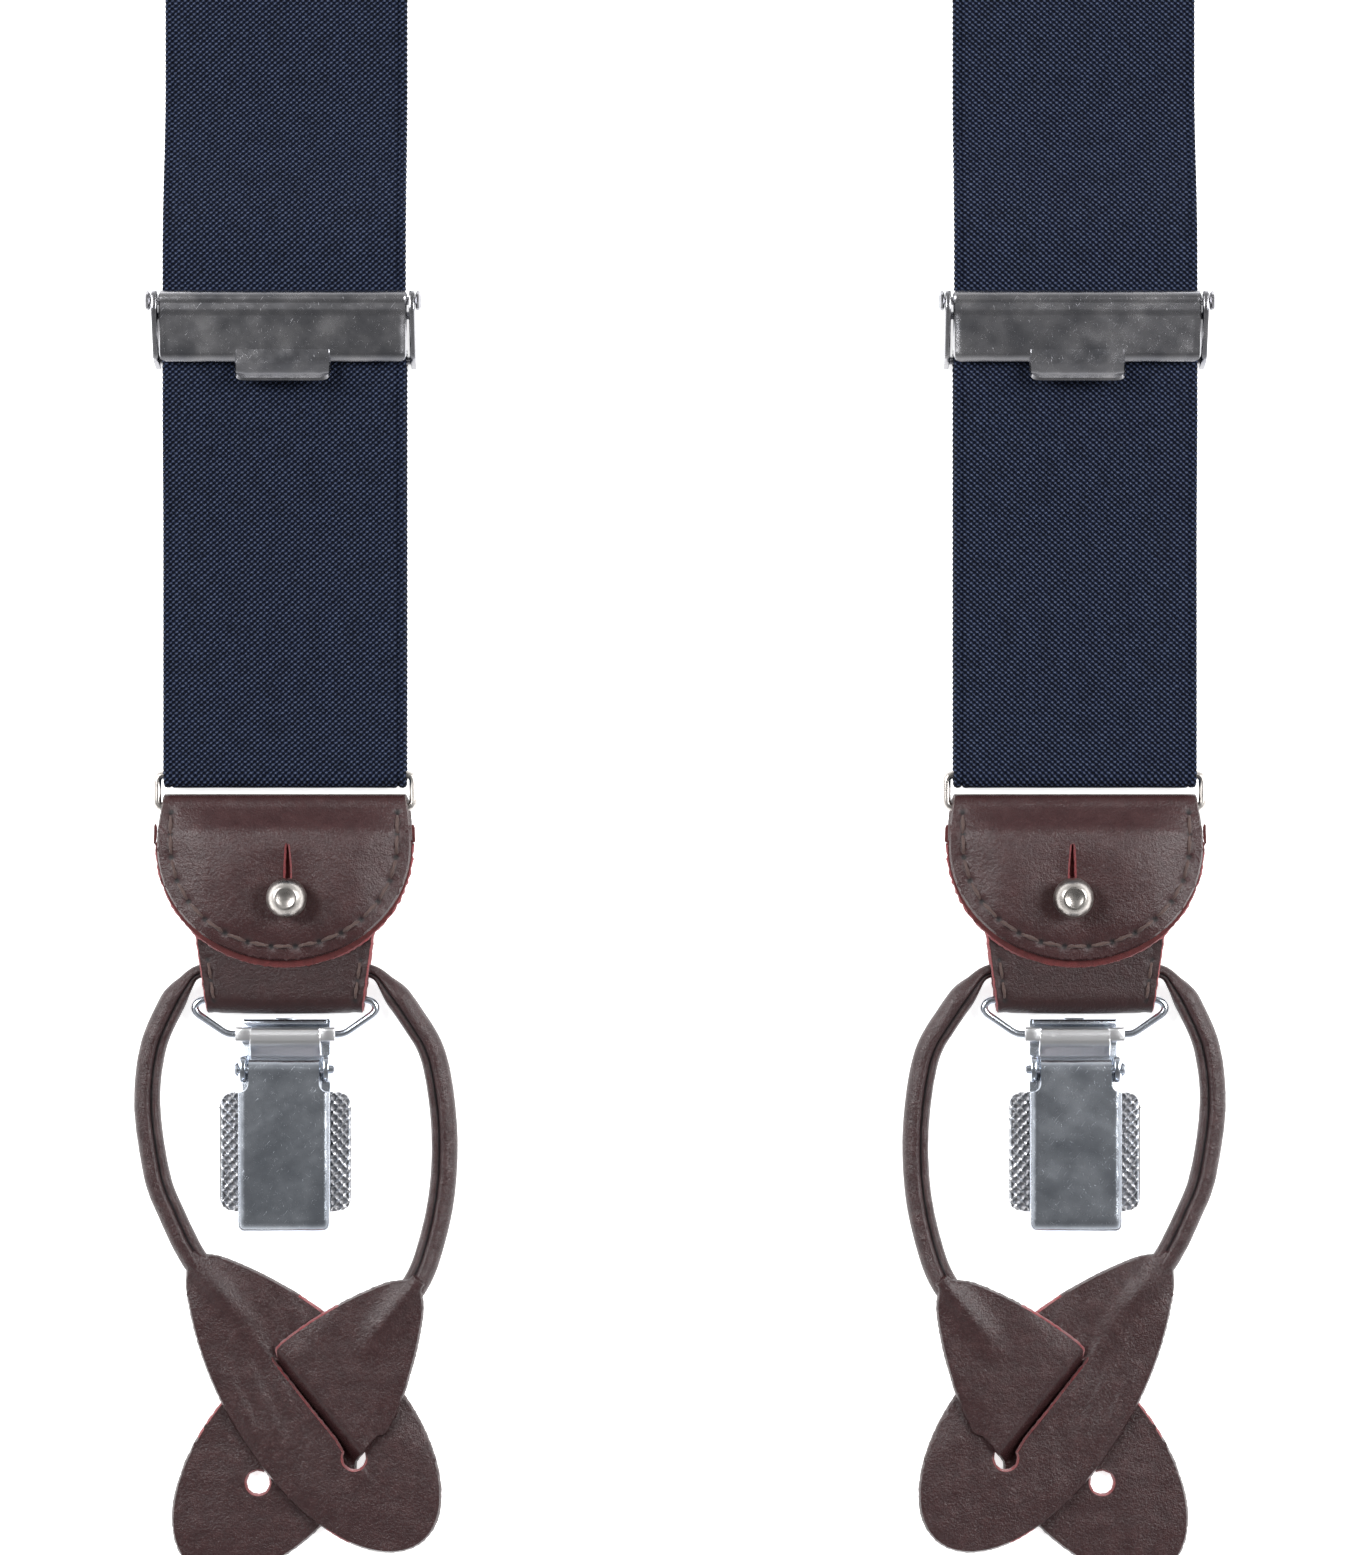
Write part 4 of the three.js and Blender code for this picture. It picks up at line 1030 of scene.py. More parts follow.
def tab_fold():
    """The tab's leather, from its front tip up over the ring's bar and down behind."""
    front_z = TAB_HIGH[2] - HIDE / 2
    back_z = TAB_LOW[2] + HIDE / 2
    slope = TAB_BAR - 3.6
    return Fold([[TAB_LOW[1] - 1, front_z], [slope, front_z], [TAB_BAR, RING_Z + TAB_LOOP],
                 *arc(TAB_BAR, RING_Z, TAB_LOOP, 80, -80, 8), [TAB_BAR - 0.4, RING_Z - TAB_LOOP],
                 [slope, back_z], [BACKING_LOW[1] - 1, back_z]], 1.0)


def tab(end):
    fold = tab_fold()
    turn = float(fold.run[np.argmax(fold.line[:, 0])])
    back_bottom = -20.4

    def back_s(v):
        return turn + (turn - v) - 1.0

    front = half_moon(TAB_HALF, TAB_LOW[1], turn, STRAP_WIDTH / 2)
    behind = [[x, back_s(v)] for x, v in half_moon(TAB_HALF, back_bottom, turn, STRAP_WIDTH / 2)]
    outline = front[: MOON_SIDE + 2] + behind[MOON_SIDE::-1]
    outline += behind[MOON_SIDE + 5 :] + front[MOON_SIDE + 4 :]
    hole = stud_hole()
    slit_length = 4.7
    slit_top = STUD[1] + BALL + slit_length
    slit_low = STUD[1] + BALL - 0.3
    slit = [[STUD[0] - 0.38, slit_low], [STUD[0] + 0.34, slit_low],
            [STUD[0] + 0.28, slit_low + 2.5], [STUD[0] + 0.02, slit_top],
            [STUD[0] - 0.12, slit_top], [STUD[0] - 0.3, slit_low + 2.4]]
    inset = half_moon(TAB_HALF - STITCH_INSET, TAB_LOW[1] + STITCH_INSET, -2.4)
    seam_half, seam_top = TAB_HALF - STITCH_INSET, -2.6
    seam = [[-seam_half, seam_top], *inset[:MOON_SIDE], [seam_half, seam_top]]
    holes = evenly(seam, STITCH_PITCH)
    groove = evenly(seam, 0.6)
    prick = 0.52

    def on_front(s):
        return 1 - smooth(s, turn - 2, turn)

    def place(x, s):
        middle, normal = fold.place(x, s)
        return middle + normal * (tab_dome(x, s) * on_front(s))[:, None], normal

    def pucker(x, s):
        near = np.min([np.hypot(x - gx, s - gy) for gx, gy in groove], 0)
        return -0.07 * bump_at(near, 0, 0.8) - 0.4 * pricked(x, s, holes, prick)

    piece = Piece()
    back_hole = [[x, back_s(v)] for x, v in hole]

    def edge(x, s):
        """The cut edge is dyed dark, except inside the slit."""
        return 2 if abs(x - STUD[0]) < 1.2 and s > STUD[1] + BALL - 1 and s < turn - 3 else 0

    # the stitch holes' depth also paints shade into them
    sheet(piece, outline, [hole, slit, back_hole], 0.42, place, HIDE / 2, (0, 1, edge), top=pucker,
          depth=lambda x, s: pricked(x, s, holes, prick), lip=0.28, fray=0.05)
    stitches(piece, holes, place, lambda x, s: np.full(len(x), HIDE / 2 - 0.08), 3, 0.26)
    shown(piece, end, "tab", "tab", HIDES, ["tab_leather"])


def tab_linings(end):
    """The suede under the flap, whose raw rim shows all round, and the one behind."""
    hole = stud_hole()
    piece = Piece()
    front_z = (LINING_LOW[2] + LINING_HIGH[2]) / 2

    def front(x, v):
        z = front_z + tab_dome(x, v)
        return np.stack([x, v, z], 1), np.tile(UP, (len(x), 1))

    outline = half_moon(LINING_HIGH[0], LINING_LOW[1] - 0.1, LINING_HIGH[1])
    sheet(piece, outline, [hole], 0.5, front, LINING / 2, (1, 1, 2), lip=0.2, fray=0.16)
    back_z = (BACKING_LOW[2] + BACKING_HIGH[2]) / 2

    def back(x, v):
        return np.stack([x, v, np.full(len(x), back_z)], 1), np.tile(UP, (len(x), 1))

    outline = half_moon(BACKING_HIGH[0], BACKING_LOW[1], BACKING_HIGH[1])
    sheet(piece, outline, [hole], 0.9, back, LINING / 2, (1, 1, 2), lip=0.15, fray=0.08)
    shown(piece, end, "tab_linings", "tab", HIDES,
          ["tab_front_lining", "tab_back_lining"])


def stud(end):
    """The ball with its flat facet, its shank and the cap behind."""
    facet = 1.7
    shank = 1.2
    top = BALL_HIGH[2]
    centre = top - math.sqrt(BALL**2 - facet**2)
    start = math.asin(shank / BALL)
    stop = math.pi - math.asin(facet / BALL)
    profile = [(shank, -centre + 0.3)]
    for angle in np.linspace(start, stop, 22):
        profile.append((BALL * math.sin(angle), -BALL * math.cos(angle)))
    rim = profile[-1][1]
    profile += [(facet - 0.12, rim + 0.06), (facet * 0.72, rim + 0.02), (facet * 0.62, rim - 0.08),
                (facet * 0.1, rim - 0.1)]
    piece = Piece()
    lathe(piece, profile, (*STUD, centre), UP, 40)
    cap = LEFT.span("stud_cap")
    radius, height = (cap[1][0] - cap[0][0]) / 2, cap[1][2]
    profile = [(radius - 0.5, 0.02), (radius, 0.2), (radius - 0.1, height - 0.1),
               (radius - 0.3, height), (shank, height)]
    lathe(piece, profile, (*STUD, 0), UP, 40)
    shown(piece, end, "stud", "tab", [NICKEL], ["ball_stud", "stud_cap"], 35)


# ---------------------------------------------------------------- hanger


HANGER_FOLD_HALF, HANGER_TAPER = 11.25, 0.144


def hanger_half(v):
    """Half the hanger's width, which grows from its fold up to the stud."""
    return np.minimum(HANGER_HIGH[0], HANGER_FOLD_HALF + HANGER_TAPER * (v - HANGER_LOW[1]))


def hanger(end):
    """A leather loop from the stud down round the clip's wire and back up."""
    back_under, wire_room, cord_v = 2.5, 1.25, -25.8
    front_z, back_z = HANGER_HIGH[2] - HIDE / 2, back_under + HIDE / 2
    radius = wire_room + HIDE / 2
    fold_v, fold_z = HANGER_LOW[1] + radius + HIDE / 2, HIDE + wire_room
    points = [[HANGER_HIGH[1], front_z], [-24, front_z],
              *arc(fold_v, fold_z, radius, 90, 270, 8),
              [cord_v + 1.8, HIDE / 2], [-20.7, back_z], [HANGER_HIGH[1], back_z]]
    line = softened(points, 0.45, 0.9)
    v = line[:, 0]
    half = hanger_half(v)
    line = np.stack([0 * v, v, line[:, 1]], 1)
    side = np.tile([1.0, 0, 0], (len(line), 1))
    ups = unit(np.cross(side, unit(np.gradient(line, axis=0))))
    thick = HIDE / 2
    seam_top, pitch, inset = -23.0, 2.9, 1.4
    rows = np.arange(fold_v - 0.4, seam_top, pitch)
    inner = np.linspace(-1, 1, 46)

    def section(i):
        w = half[i] + 0.07 * rough(v[i], 0.0, 0.5)
        xs = inner * (w - 0.25)
        bulge = 0.15 * (1 - inner**2)
        holes = sum(np.exp(-(((np.abs(xs) - w + inset) ** 2 + (v[i] - row) ** 2) / 0.2))
                    for row in rows) if i < len(v) * 0.45 else 0 * xs
        groove = 0.1 * bump_at(np.abs(xs), w - inset, 0.5)
        top = [(x, -thick - b + g + 0.25 * h) for x, b, g, h in zip(xs, bulge, groove, holes)]
        edge = [(w - 0.06, -thick * 0.5), (w, 0), (w - 0.06, thick * 0.5)]
        under = [(x, thick) for x in xs[::-1]]
        other = [(-x, -z) for x, z in edge]
        # the stitch holes' depth, which the hanger's leather turns into painted shade
        depth = np.concatenate([holes, np.zeros(3), np.zeros(len(xs)), np.zeros(3)])
        return np.array(top + edge + under + other), depth

    piece = Piece()
    sweep(piece, line, side, ups, section)
    size = 2 * len(inner) + 6
    kinds = []
    for face in piece.faces:
        spot = face[0] % size
        red = len(inner) - 1 <= spot < len(inner) + 3 or spot >= size - 4
        kinds.append(2 if red else (1 if len(inner) + 3 <= spot < size - 4 else 0))
    piece.slots = kinds
    for sign in (-1, 1):
        spots = [[sign * (hanger_half(r) - inset), r] for r in rows]
        fold = Fold([[HANGER_LOW[1] + 0.4, front_z - 0.4], [fold_v + 1, front_z], [-10, front_z]])
        stitches(piece, np.array(spots), fold.place, lambda x, s: np.full(len(x), thick), 3, 0.22)
    shown(piece, end, "hanger", "hanger", [STRAP_LEATHER, SUEDE, RED_EDGE, THREAD],
          ["hanger_leather"])


# ---------------------------------------------------------------- clip


def clip_wire(end):
    radius = 0.55
    z = (WIRE_LOW[2] + WIRE_HIGH[2]) / 2
    bar_v, ear_v = WIRE_HIGH[1] - radius, WIRE_LOW[1] + radius
    half, corner = WIRE_HIGH[0] - radius, 1.4
    bend = JAW_EAR + GAP + radius
    side = [[3.0, ear_v], [bend, ear_v], [bend + 0.8, ear_v + 0.3],
            [half - 0.5, bar_v - corner - 0.7], *arc(half - corner, bar_v - corner, corner, 0, 90, 6)]
    outline = side + [[-x, y] for x, y in side[::-1]]
    line = softened([[x, y, z] for x, y in outline], 0.25, 0.8)
    piece = Piece()
    wire(piece, line, radius, sides=18)
    shown(piece, end, "clip_wire", "wire", [STEEL], ["clip_wire"])


JAW_EAR = 7.2
NECK_HALF = 5.15
WING_TOP = -43.5
KNURL = (1.4, 1.5)


def jaw(end):
    """A tube for the wire's ends, a neck and two knurled wings."""
    half = JAW_HIGH[0]
    bottom = JAW_LOW[1]
    ear_radius = (JAW_HIGH[2] - JAW_LOW[2]) / 2
    ear_v, ear_z = JAW_HIGH[1] - ear_radius, JAW_HIGH[2] - ear_radius
    z0 = JAW_LOW[2]
    piece = Piece()
    roll = ear_radius - 0.36
    bend = Fold([[WING_TOP - 1, z0 + 0.35], [ear_v - 3.2, z0 + 0.35], [ear_v - 1.2, ear_z + roll],
                 *arc(ear_v, ear_z, roll, 90, -150, 12)], 0.6, 0.1)
    neck = rounded([[-NECK_HALF, WING_TOP - 1], [NECK_HALF, WING_TOP - 1],
                    [NECK_HALF, bend.end - 0.1], [-NECK_HALF, bend.end - 0.1]], 0.3)
    sheet(piece, neck, [], 0.35, bend.place, 0.35, (0, 0, 0), lip=0.12)
    for side in (-1, 1):
        a, b = side * (NECK_HALF - 0.3), side * JAW_EAR
        ear = rounded([[ear_v - 1.05, z0 + 0.1], [ear_v + 1.05, z0 + 0.1],
                       [ear_v + 1.05, ear_z + 0.9], [ear_v - 1.05, ear_z + 0.9]], 0.5)
        prism(piece, ear, min(a, b), max(a, b), 0.12, axes=(1, 2, 0))
    outline = rounded([[-half, bottom], [half, bottom], [half, WING_TOP], [-half, WING_TOP]],
                      2.5, 8)

    def knurl(x, y):
        a = np.abs((x / KNURL[0] + y / KNURL[1] + 40) % 1 - 0.5)
        b = np.abs((x / KNURL[0] - y / KNURL[1] + 40) % 1 - 0.5)
        ridge = np.maximum(bump_at(a, 0.5, 0.11), bump_at(b, 0.5, 0.11))
        rim = smooth(np.abs(x), half - 0.7, half - 0.4)
        return 0.42 * np.maximum(ridge, rim) - 0.3

    def place(x, y):
        return np.stack([x, y, np.full(len(x), z0 + 0.35)], 1), np.tile(UP, (len(x), 1))

    # pit depth, which the knurled steel turns into painted shade in the pits and painted highlight on
    # the ridges
    def pits(x, y):
        return np.clip(1 - (knurl(x, y) + 0.3) / 0.42, 0, 1)

    hole = rounded([[-4.9, bottom + 3], [4.9, bottom + 3], [4.9, WING_TOP - 2],
                    [-4.9, WING_TOP - 2]], 0.5)
    sheet(piece, outline, [hole], 0.22, place, 0.35, (0, 0, 0), top=knurl, depth=pits, lip=0.15)
    shown(piece, end, "clip_jaw", "jaw", [KNURLED], ["clip_jaw"], 60)


def back_plate(end):
    """The plate behind the jaw, its hooked lip and the two cheeks of the lever's pin."""
    half, bottom = PLATE_HIGH[0] - 0.3, JAW_LOW[1] + 0.4
    metal, lip_half, lug_half = 0.7, 6, 1.45
    cheek_in, cheek_out = 5.6, 6.4
    shoulder = WING_TOP - 0.5
    lip_low, lip_high = PLATE_HIGH[1] - metal, PLATE_HIGH[1]
    piece = Piece()
    outline = rounded([[-half, bottom], [half, bottom], [half, shoulder], [cheek_out, shoulder],
                       [cheek_out, lip_high], [-cheek_out, lip_high], [-cheek_out, shoulder],
                       [-half, shoulder]], 0.35, 3)
    prism(piece, outline, 0, metal, 0.12)
    cheek, cheek_top, foot = 1.9, 4.6, 0.1
    for side in (-1, 1):
        profile = rounded([[PIN_V - cheek, foot], [PIN_V + cheek, foot], [PIN_V + cheek, cheek_top],
                           [PIN_V, PLATE_HIGH[2]], [PIN_V - cheek, cheek_top]],
                          [0.2, 0.2, 0.8, 1, 0.8])
        a, b = side * cheek_in, side * cheek_out
        prism(piece, profile, min(a, b), max(a, b), 0.15, axes=(1, 2, 0))
    lip = rounded([[lip_low, 0.1], [lip_high, 0.1], [lip_high, 2.4], [lip_high - 0.35, 2.75],
                   [lip_low, 2.6]], 0.15)
    prism(piece, lip, -lip_half, lip_half, 0.15, axes=(1, 2, 0))
    lug = rounded([[-lug_half, lip_low], [lug_half, lip_low], [lug_half, lip_high + 0.2],
                   [-lug_half, lip_high + 0.2]], 0.1)
    prism(piece, lug, 1.5, 2.1, 0.1)
    shown(piece, end, "clip_plate", "clip", [STEEL], ["clip_back_plate"], 35)


def clip_pin(end):
    """The lever's pin, with a domed head on one side."""
    shaft, head_at = 0.6, -6.55
    piece = Piece()
    rod(piece, PIN_LOW[0] + 0.1, PIN_HIGH[0], PIN_V, PIN_Z, shaft)
    head = [(shaft, 0), (0.95, 0.08), (1.0, 0.3), (0.85, 0.55), (0.5, 0.62)]
    lathe(piece, head, (head_at, PIN_V, PIN_Z), (-1, 0, 0), 24)
    shown(piece, end, "clip_pin", "clip", [STEEL], ["clip_pin"])


def lever(end):
    """A folded plate: a rolled top round the pin, a narrow neck and a wide lower part
    whose sides and end bend down."""
    half, narrow = LEVER_HIGH[0], 5.2
    top_z, bottom = LEVER_HIGH[2], LEVER_LOW[1]
    pin_v, pin_z = PIN_V, PIN_Z
    wide_top = pin_v - 3.6
    skin = 0.35
    bend = 0.55
    drop = top_z - LEVER_LOW[2] - 0.4
    mid = top_z - skin
    path = Fold([[bottom + skin, mid - 1.5], [bottom + skin, mid - 0.9],
                 [bottom + skin + 0.35, mid - 0.25], [bottom + skin + 1.1, mid],
                 [pin_v - 1.0, mid], *arc(pin_v, pin_z, mid - pin_z, 80, -30, 8)], 0.4, 0.1)
    end_s = path.end
    flat_half = half - skin - bend * 0.45
    wide = flat_half + drop

    def place(x, s):
        """Past its flat half-width the plate turns down at each side."""
        over = np.maximum(np.abs(x) - flat_half + bend * 0.6, 0)
        angle = np.minimum(over / bend, math.pi / 2)
        beyond = np.maximum(over - bend * math.pi / 2, 0)
        out = np.minimum(np.abs(x), flat_half - bend * 0.6) + bend * np.sin(angle)
        fall = bend * (1 - np.cos(angle)) + beyond
        middle, normal = path.place(np.sign(x) * out, s)
        across = np.sign(x) * np.sin(angle)
        bent = normal * np.cos(angle)[:, None]
        bent[:, 0] += across
        return middle - normal * fall[:, None], bent

    shoulder = rounded([[-wide, path.run[0] + 1.6], [-wide + 1.4, path.run[0]],
                        [wide - 1.4, path.run[0]], [wide, path.run[0] + 1.6],
                        [wide, wide_top + 1.1], [flat_half - 0.3, wide_top + 1.5],
                        [narrow, wide_top + 2.2], [narrow, end_s - 0.1],
                        [-narrow, end_s - 0.1], [-narrow, wide_top + 2.2],
                        [-flat_half + 0.3, wide_top + 1.5], [-wide, wide_top + 1.1]],
                       [0.5, 0.5, 0.5, 0.5, 0.4, 0.5, 0.4, 0.2, 0.2, 0.4, 0.5, 0.4], 3)
    piece = Piece()

    def dents(x, s):
        return 0.025 * rough(x, s, 2.6, 4) + 0.01 * rough(x, s, 0.9, 7)

    sheet(piece, shoulder, [], 0.33, place, skin, (0, 0, 0), top=dents, lip=0.12)
    for side in (-1, 1):
        a, b = side * (narrow - 0.1), side * (narrow - 0.9)
        lathe(piece, [(1.35, 0), (1.5, 0.1), (1.5, 0.7), (1.35, 0.8)],
              (min(a, b), pin_v, pin_z), (1, 0, 0), 24)
    shown(piece, end, "clip_lever", "lever", [STEEL], ["clip_lever"], 50)


# ---------------------------------------------------------------- leather button end

LEAF_LENGTH, LEAF_HALF, LEAF_WIDEST, LEAF_STEM = 52.7, 11.4, 32.0, 2.0
LEAF_THICK = 1.4
CORD_RADIUS = 1.9
LEAF_A = (np.array([-13.3, -67.5]), math.radians(-51))
LEAF_B = (np.array([18.9, -71.0]), math.radians(-128.3))
BUTTONHOLE_AT, BUTTONHOLE_RADIUS = 37.0, 1.65
SLIT_START = 18.4
CORD_ROUTE = [
    [-5.7, -76.8, 1.3], [-9.5, -72.2, 1.7], [-13.3, -67.5, 2.0],
    [-16.5, -61.1, 2.0], [-18.6, -55.5, 1.95], [-20.0, -45.5, 1.95],
    [-19.2, -37.3, 1.95], [-16.8, -31.4, 2.1], [-14.6, -28.0, 2.35], [-12.2, -26.0, 2.35],
    [-6.0, -25.8, 2.35], [6.0, -25.8, 2.35], [12.2, -26.0, 2.35], [14.9, -28.2, 2.35],
    [18.2, -32.6, 2.1], [21.4, -38.5, 1.95], [22.9, -48.5, 1.95], [22.6, -58.0, 1.95],
    [20.9, -66.0, 2.4], [18.9, -71.0, 3.4], [15.2, -75.7, 3.6], [11.5, -80.4, 3.4],
]


def leaf_half_width(s):
    s = np.asarray(s, float)
    short = np.clip(1 - s / LEAF_WIDEST, 0, 1)
    narrow = LEAF_STEM + (LEAF_HALF - LEAF_STEM) * (1 - short**2.2)
    beyond = np.clip((s - LEAF_WIDEST) / (LEAF_LENGTH - LEAF_WIDEST), 0, 1)
    return np.where(s < LEAF_WIDEST, narrow, LEAF_HALF * np.sqrt(1 - beyond**2))


def leaf_outline(limit=None):
    early = np.linspace(-1.0, LEAF_WIDEST, 34)
    late = LEAF_WIDEST + (LEAF_LENGTH - LEAF_WIDEST) * np.sin(np.linspace(0, math.pi / 2, 24)[1:])
    s = np.concatenate([early, late])
    half = leaf_half_width(s) - 0.9 * (1 - smooth(s, -1, 3))
    if limit is not None:
        half = np.minimum(half, limit(s))
    right = np.stack([s, -half], 1)
    left = np.stack([s, half], 1)[::-1][1:]
    return np.concatenate([right, left])


def leaf_frame(leaf):
    """Unit vectors along a leaf and to its left."""
    angle = leaf[1]
    return np.array([math.cos(angle), math.sin(angle)]), np.array([-math.sin(angle), math.cos(angle)])


def crossing():
    a, _ = leaf_frame(LEAF_A)
    b, _ = leaf_frame(LEAF_B)
    gap = LEAF_B[0] - LEAF_A[0]
    turn = a[0] * b[1] - a[1] * b[0]
    return (gap[0] * b[1] - gap[1] * b[0]) / turn, (gap[0] * a[1] - gap[1] * a[0]) / turn


def spine(s, t, fade):
    """The ridge that the cord makes in a leaf, fading along it."""
    return 1.15 * (1 - smooth(s, 1, fade)) * bump_at(t, 0, 1.8)


def brace_end(end):
    cross_a, cross_b = crossing()
    _, a_left = leaf_frame(LEAF_A)

    def height_a(s, t):
        """t is positive to the leaf's left, which is its upper right half."""
        z = 2.0 + 0.5 * smooth(s, 0, 7)
        near = bump_at(s, cross_a, 9.0)
        lip = np.where(t > 0, -0.45, 0.5) * np.exp(-np.abs(t) / 2.2) * near
        z = z + lip + 0.35 * (1 - (t / LEAF_HALF) ** 2) * smooth(s, 30, 40)
        z = z - 0.5 * smooth(np.abs(t), 7, 12) + spine(s, t, 20)
        wrinkle = 0.16 * bump_at(s, cross_a - 6, 7) * np.sin(t * 1.9 + s * 0.5)
        return z + wrinkle + 0.06 * rough(s, t, 3.0, 5)

    def height_b(s, t):
        b_along, b_left = leaf_frame(LEAF_B)
        spot = LEAF_B[0] + np.outer(s, b_along) + np.outer(t, b_left)
        q = (spot - LEAF_A[0]) @ a_left
        z = 0.72 + (4.1 - 0.72) * smooth(q, -0.9, 1.9)
        z = z + 0.25 * smooth(s, 30, 36) * (1 - smooth(s, 46, 53)) * bump_at(t, 0, 8)
        ridge = spine(s, t, 16)
        return z - 0.6 * smooth(np.abs(t), 6, 11) * smooth(q, 1, 5) + ridge + 0.05 * rough(s, t, 3.2, 9)

    def placed(leaf, height):
        along, left = leaf_frame(leaf)

        def place(s, t):
            spot = leaf[0] + np.outer(s, along) + np.outer(t, left)
            return np.column_stack([spot, height(s, t)]), np.tile(UP, (len(s), 1))
        return place

    keyhole = [[SLIT_START, -0.05], [cross_a - 4, -0.15], [cross_a, -0.2], [cross_a + 5, -0.2]]
    keyhole += arc(BUTTONHOLE_AT, 0, BUTTONHOLE_RADIUS, -160, 160, 18)
    keyhole += [[cross_a + 5, 1.2], [cross_a, 1.6], [cross_a - 4, 1.2]]
    nick = arc(BUTTONHOLE_AT, 0, BUTTONHOLE_RADIUS, -170, 170, 20)
    nick += [[BUTTONHOLE_AT - 6, 0.25], [BUTTONHOLE_AT - 6.4, 0.0], [BUTTONHOLE_AT - 6, -0.25]]

    def squeezed(s):
        away = np.abs(s - cross_b)
        return 9.3 + np.maximum(0, away - 2.4) * 0.8

    def edge_a(s, t):
        """Cut edges are dyed dark, but show red in the slit and here and there outside."""
        in_slit = SLIT_START - 1 < s < BUTTONHOLE_AT + 2.5 and abs(t) < 2.3
        patch = 14 < s < 19 and t > 0 or 42 < s < 46 and t < 0
        return 2 if in_slit or patch else 0

    def edge_b(s, t):
        in_hole = abs(s - BUTTONHOLE_AT + 2) < 5 and abs(t) < 2.3
        return 2 if in_hole or (9 < s < 27 and t < 0) or (30 < s < 37 and t < -8) else 0

    piece = Piece()
    sheet(piece, leaf_outline(), [keyhole], 0.5, placed(LEAF_A, height_a), LEAF_THICK / 2,
          (0, 1, edge_a), lip=0.3, fray=0.06)
    sheet(piece, leaf_outline(squeezed), [nick], 0.5, placed(LEAF_B, height_b), LEAF_THICK / 2,
          (0, 1, edge_b), lip=0.3, fray=0.08)
    line = curve(CORD_ROUTE, 0.6)
    taper = np.ones(len(line))
    for leaf in (LEAF_A, LEAF_B):
        beyond = (line[:, :2] - leaf[0]) @ leaf_frame(leaf)[0]
        near = np.hypot(*(line[:, :2] - leaf[0]).T) < 20
        taper -= 0.6 * smooth(beyond, 1, 14) * near
    grip = 1 - smooth(np.abs(line[:, 0]), 13.2, 16.5)
    grip = grip * (line[:, 1] > -32)
    side, up = steady(line)
    angles = np.arange(36) / 36 * TURN
    groove_at = math.radians(62)
    run = lengths(line)

    def section(i):
        """Rolled leather: a wide outer ridge, a groove and a small inner ridge."""
        groove = 0.62 * bump_at(angles, groove_at, 0.2)
        wave = 0.05 * math.sin(run[i] * 0.7) + 0.04 * math.sin(run[i] * 1.9 + 1)
        groove = groove * smooth(taper[i], 0.7, 1.0)
        radius = (CORD_RADIUS - groove + wave * np.sin(2 * angles)) * (1 - 0.5 * grip[i])
        radius = radius * taper[i]
        loop = np.stack([radius * np.cos(angles), radius * np.sin(angles)], 1)
        # the groove's depth, which paints shade along it
        return loop, 1.1 * bump_at(angles, groove_at, 0.13) * (taper[i] > 0.9)

    sweep(piece, line, side, up, section)
    shown(piece, end, "brace_end", "brace_end",
          [CORD_LEATHER, SUEDE, RED_EDGE, THREAD], ["brace_end"], 60)


# ---------------------------------------------------------------- scene


def camera():
    """Straight above the two front ends, as the photograph looks."""
    data = bpy.data.cameras.new("camera")
    data.sensor_width = 36
    data.lens = 120
    view_height, middle_v, fittings_top = 224.0, 1.95, 4.5
    data.clip_start, data.clip_end = 0.01, 20
    thing = bpy.data.objects.new("camera", data)
    bpy.context.scene.collection.objects.link(thing)
    distance = view_height * data.lens / data.sensor_width
    middle = LEFT.world([0, middle_v, 0])
    thing.location = (0, middle[1], (distance + fittings_top) * MM)
    bpy.context.scene.camera = thing


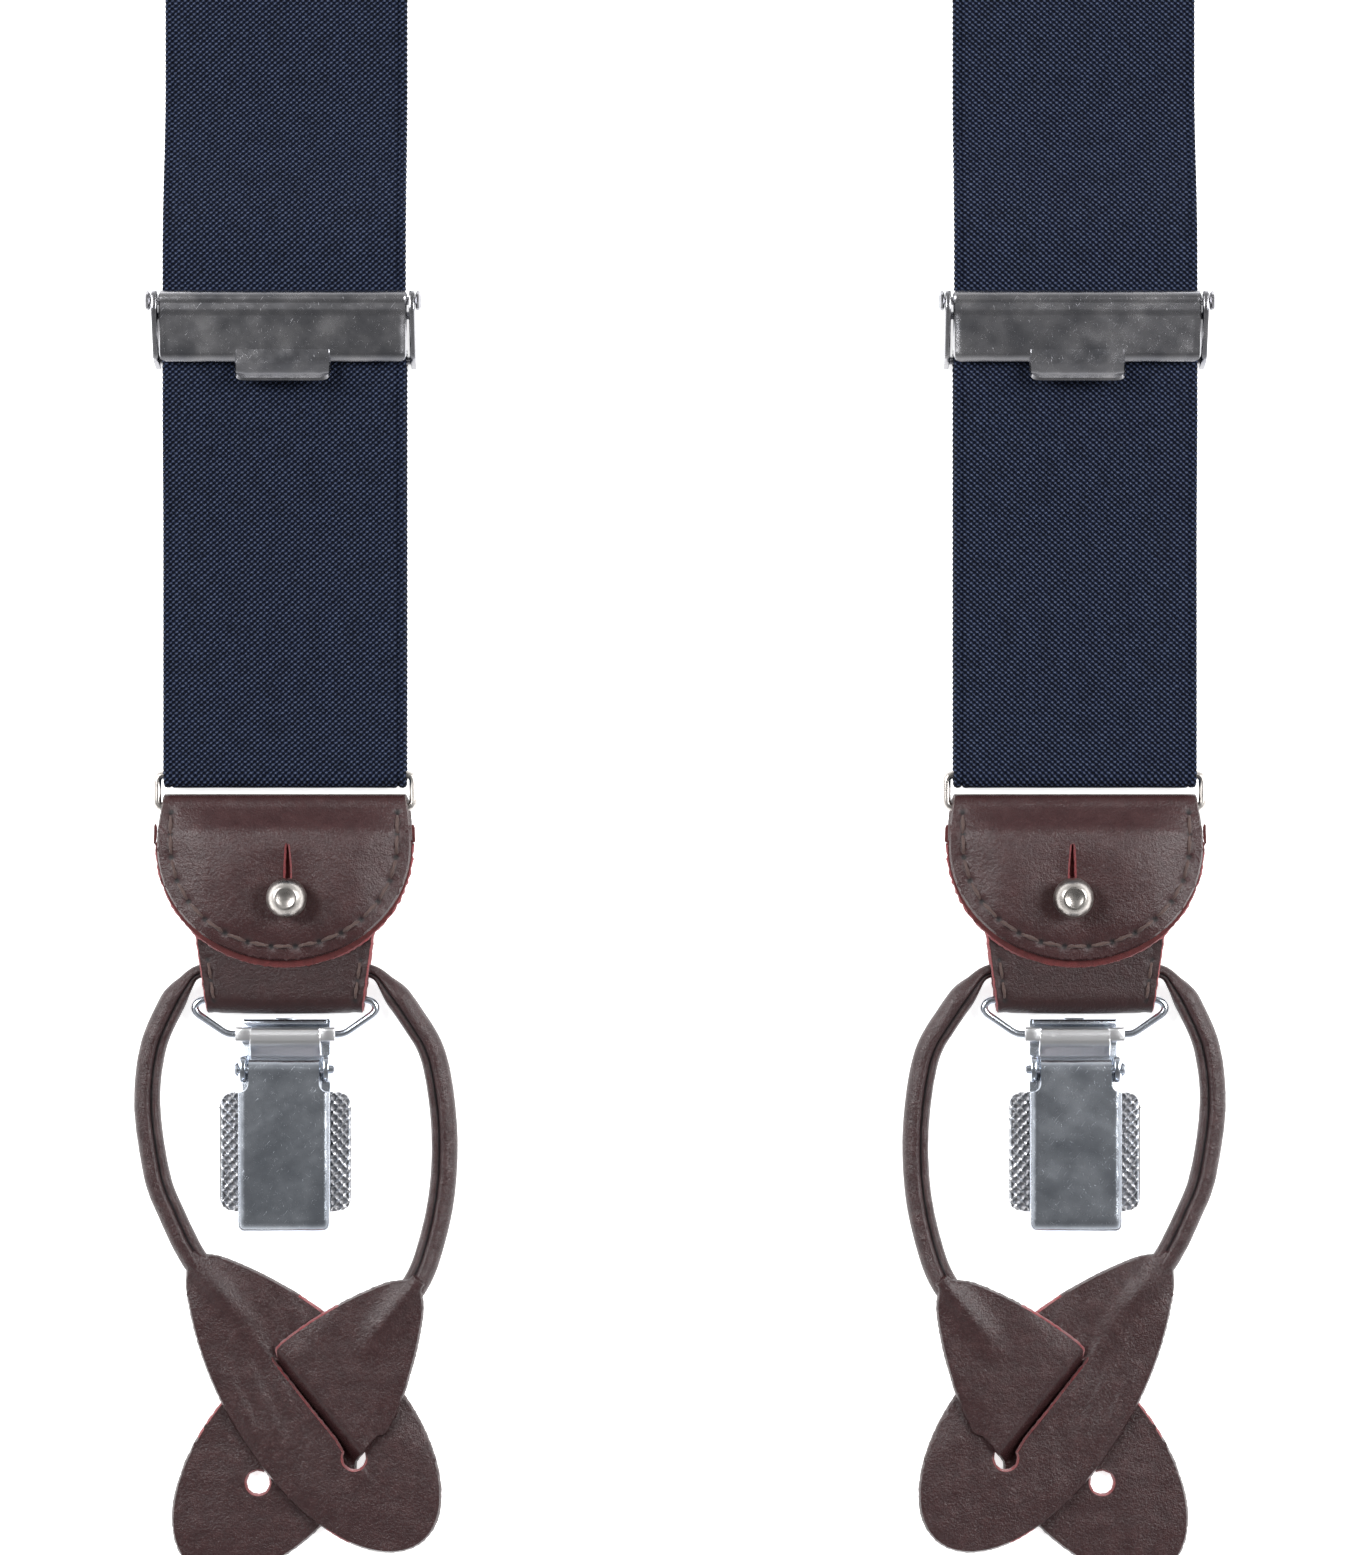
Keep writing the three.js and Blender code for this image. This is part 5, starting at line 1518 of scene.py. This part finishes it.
def soft_light(name, place, aim, size, power):
    data = bpy.data.lights.new(name, "AREA")
    data.shape = "RECTANGLE"
    data.size, data.size_y = size
    data.energy = power
    thing = bpy.data.objects.new(name, data)
    bpy.context.scene.collection.objects.link(thing)
    thing.location = place
    thing.rotation_mode = "QUATERNION"
    thing.rotation_quaternion = (Vector(aim) - Vector(place)).to_track_quat("-Z", "Y")


def studio():
    """A white tent: bright sides and a darker opening overhead for the camera."""
    world = bpy.data.worlds.new("tent")
    bpy.context.scene.world = world
    world.use_nodes = True
    tree = world.node_tree
    background = tree.nodes["Background"]
    where = tree.nodes.new("ShaderNodeTexCoord")
    split = tree.nodes.new("ShaderNodeSeparateXYZ")
    ramp = tree.nodes.new("ShaderNodeValToRGB")
    tree.links.new(where.outputs["Generated"], split.inputs[0])
    tree.links.new(split.outputs["Z"], ramp.inputs[0])
    tree.links.new(ramp.outputs[0], background.inputs[0])
    stops = ((0.0, 0.85), (0.3, 0.8), (0.62, 0.4), (0.86, 0.16), (1.0, 0.13))
    elements = ramp.color_ramp.elements
    while len(elements) < len(stops):
        elements.new(0.5)
    for element, (at, value) in zip(elements, stops):
        element.position = at
        element.color = (value, value, value, 1)
    background.inputs[1].default_value = 1.0
    v = float(LEFT.world([0, 0, 0])[1])
    soft_light("key", (-0.62, v + 0.3, 0.62), (0, v, 0), (0.35, 0.6), 10)
    soft_light("fill", (0.62, v + 0.2, 0.6), (0, v, 0), (0.35, 0.6), 9)
    bpy.context.scene.view_settings.view_transform = "Standard"


def floor():
    piece = Piece()
    reach, level = 4000.0, -0.05
    piece.add([[-reach, -reach, level], [reach, -reach, level], [reach, reach, level],
               [-reach, reach, level]], [(0, 1, 2, 3)])
    thing = piece.make("floor", None, [floor_material()])


camera()
studio()
floor()
for side in FRONTS:
    front_straps(side)
    adjuster_frame(side)
    adjuster_pin(side)
    adjuster_cover(side)
back_strap()
yoke_leather("yoke_back_leather", False)
yoke_leather("yoke_front_leather", True)
for side in ENDS:
    ring(side)
    tab(side)
    tab_linings(side)
    stud(side)
    hanger(side)
    clip_wire(side)
    jaw(side)
    back_plate(side)
    clip_pin(side)
    lever(side)
    brace_end(side)
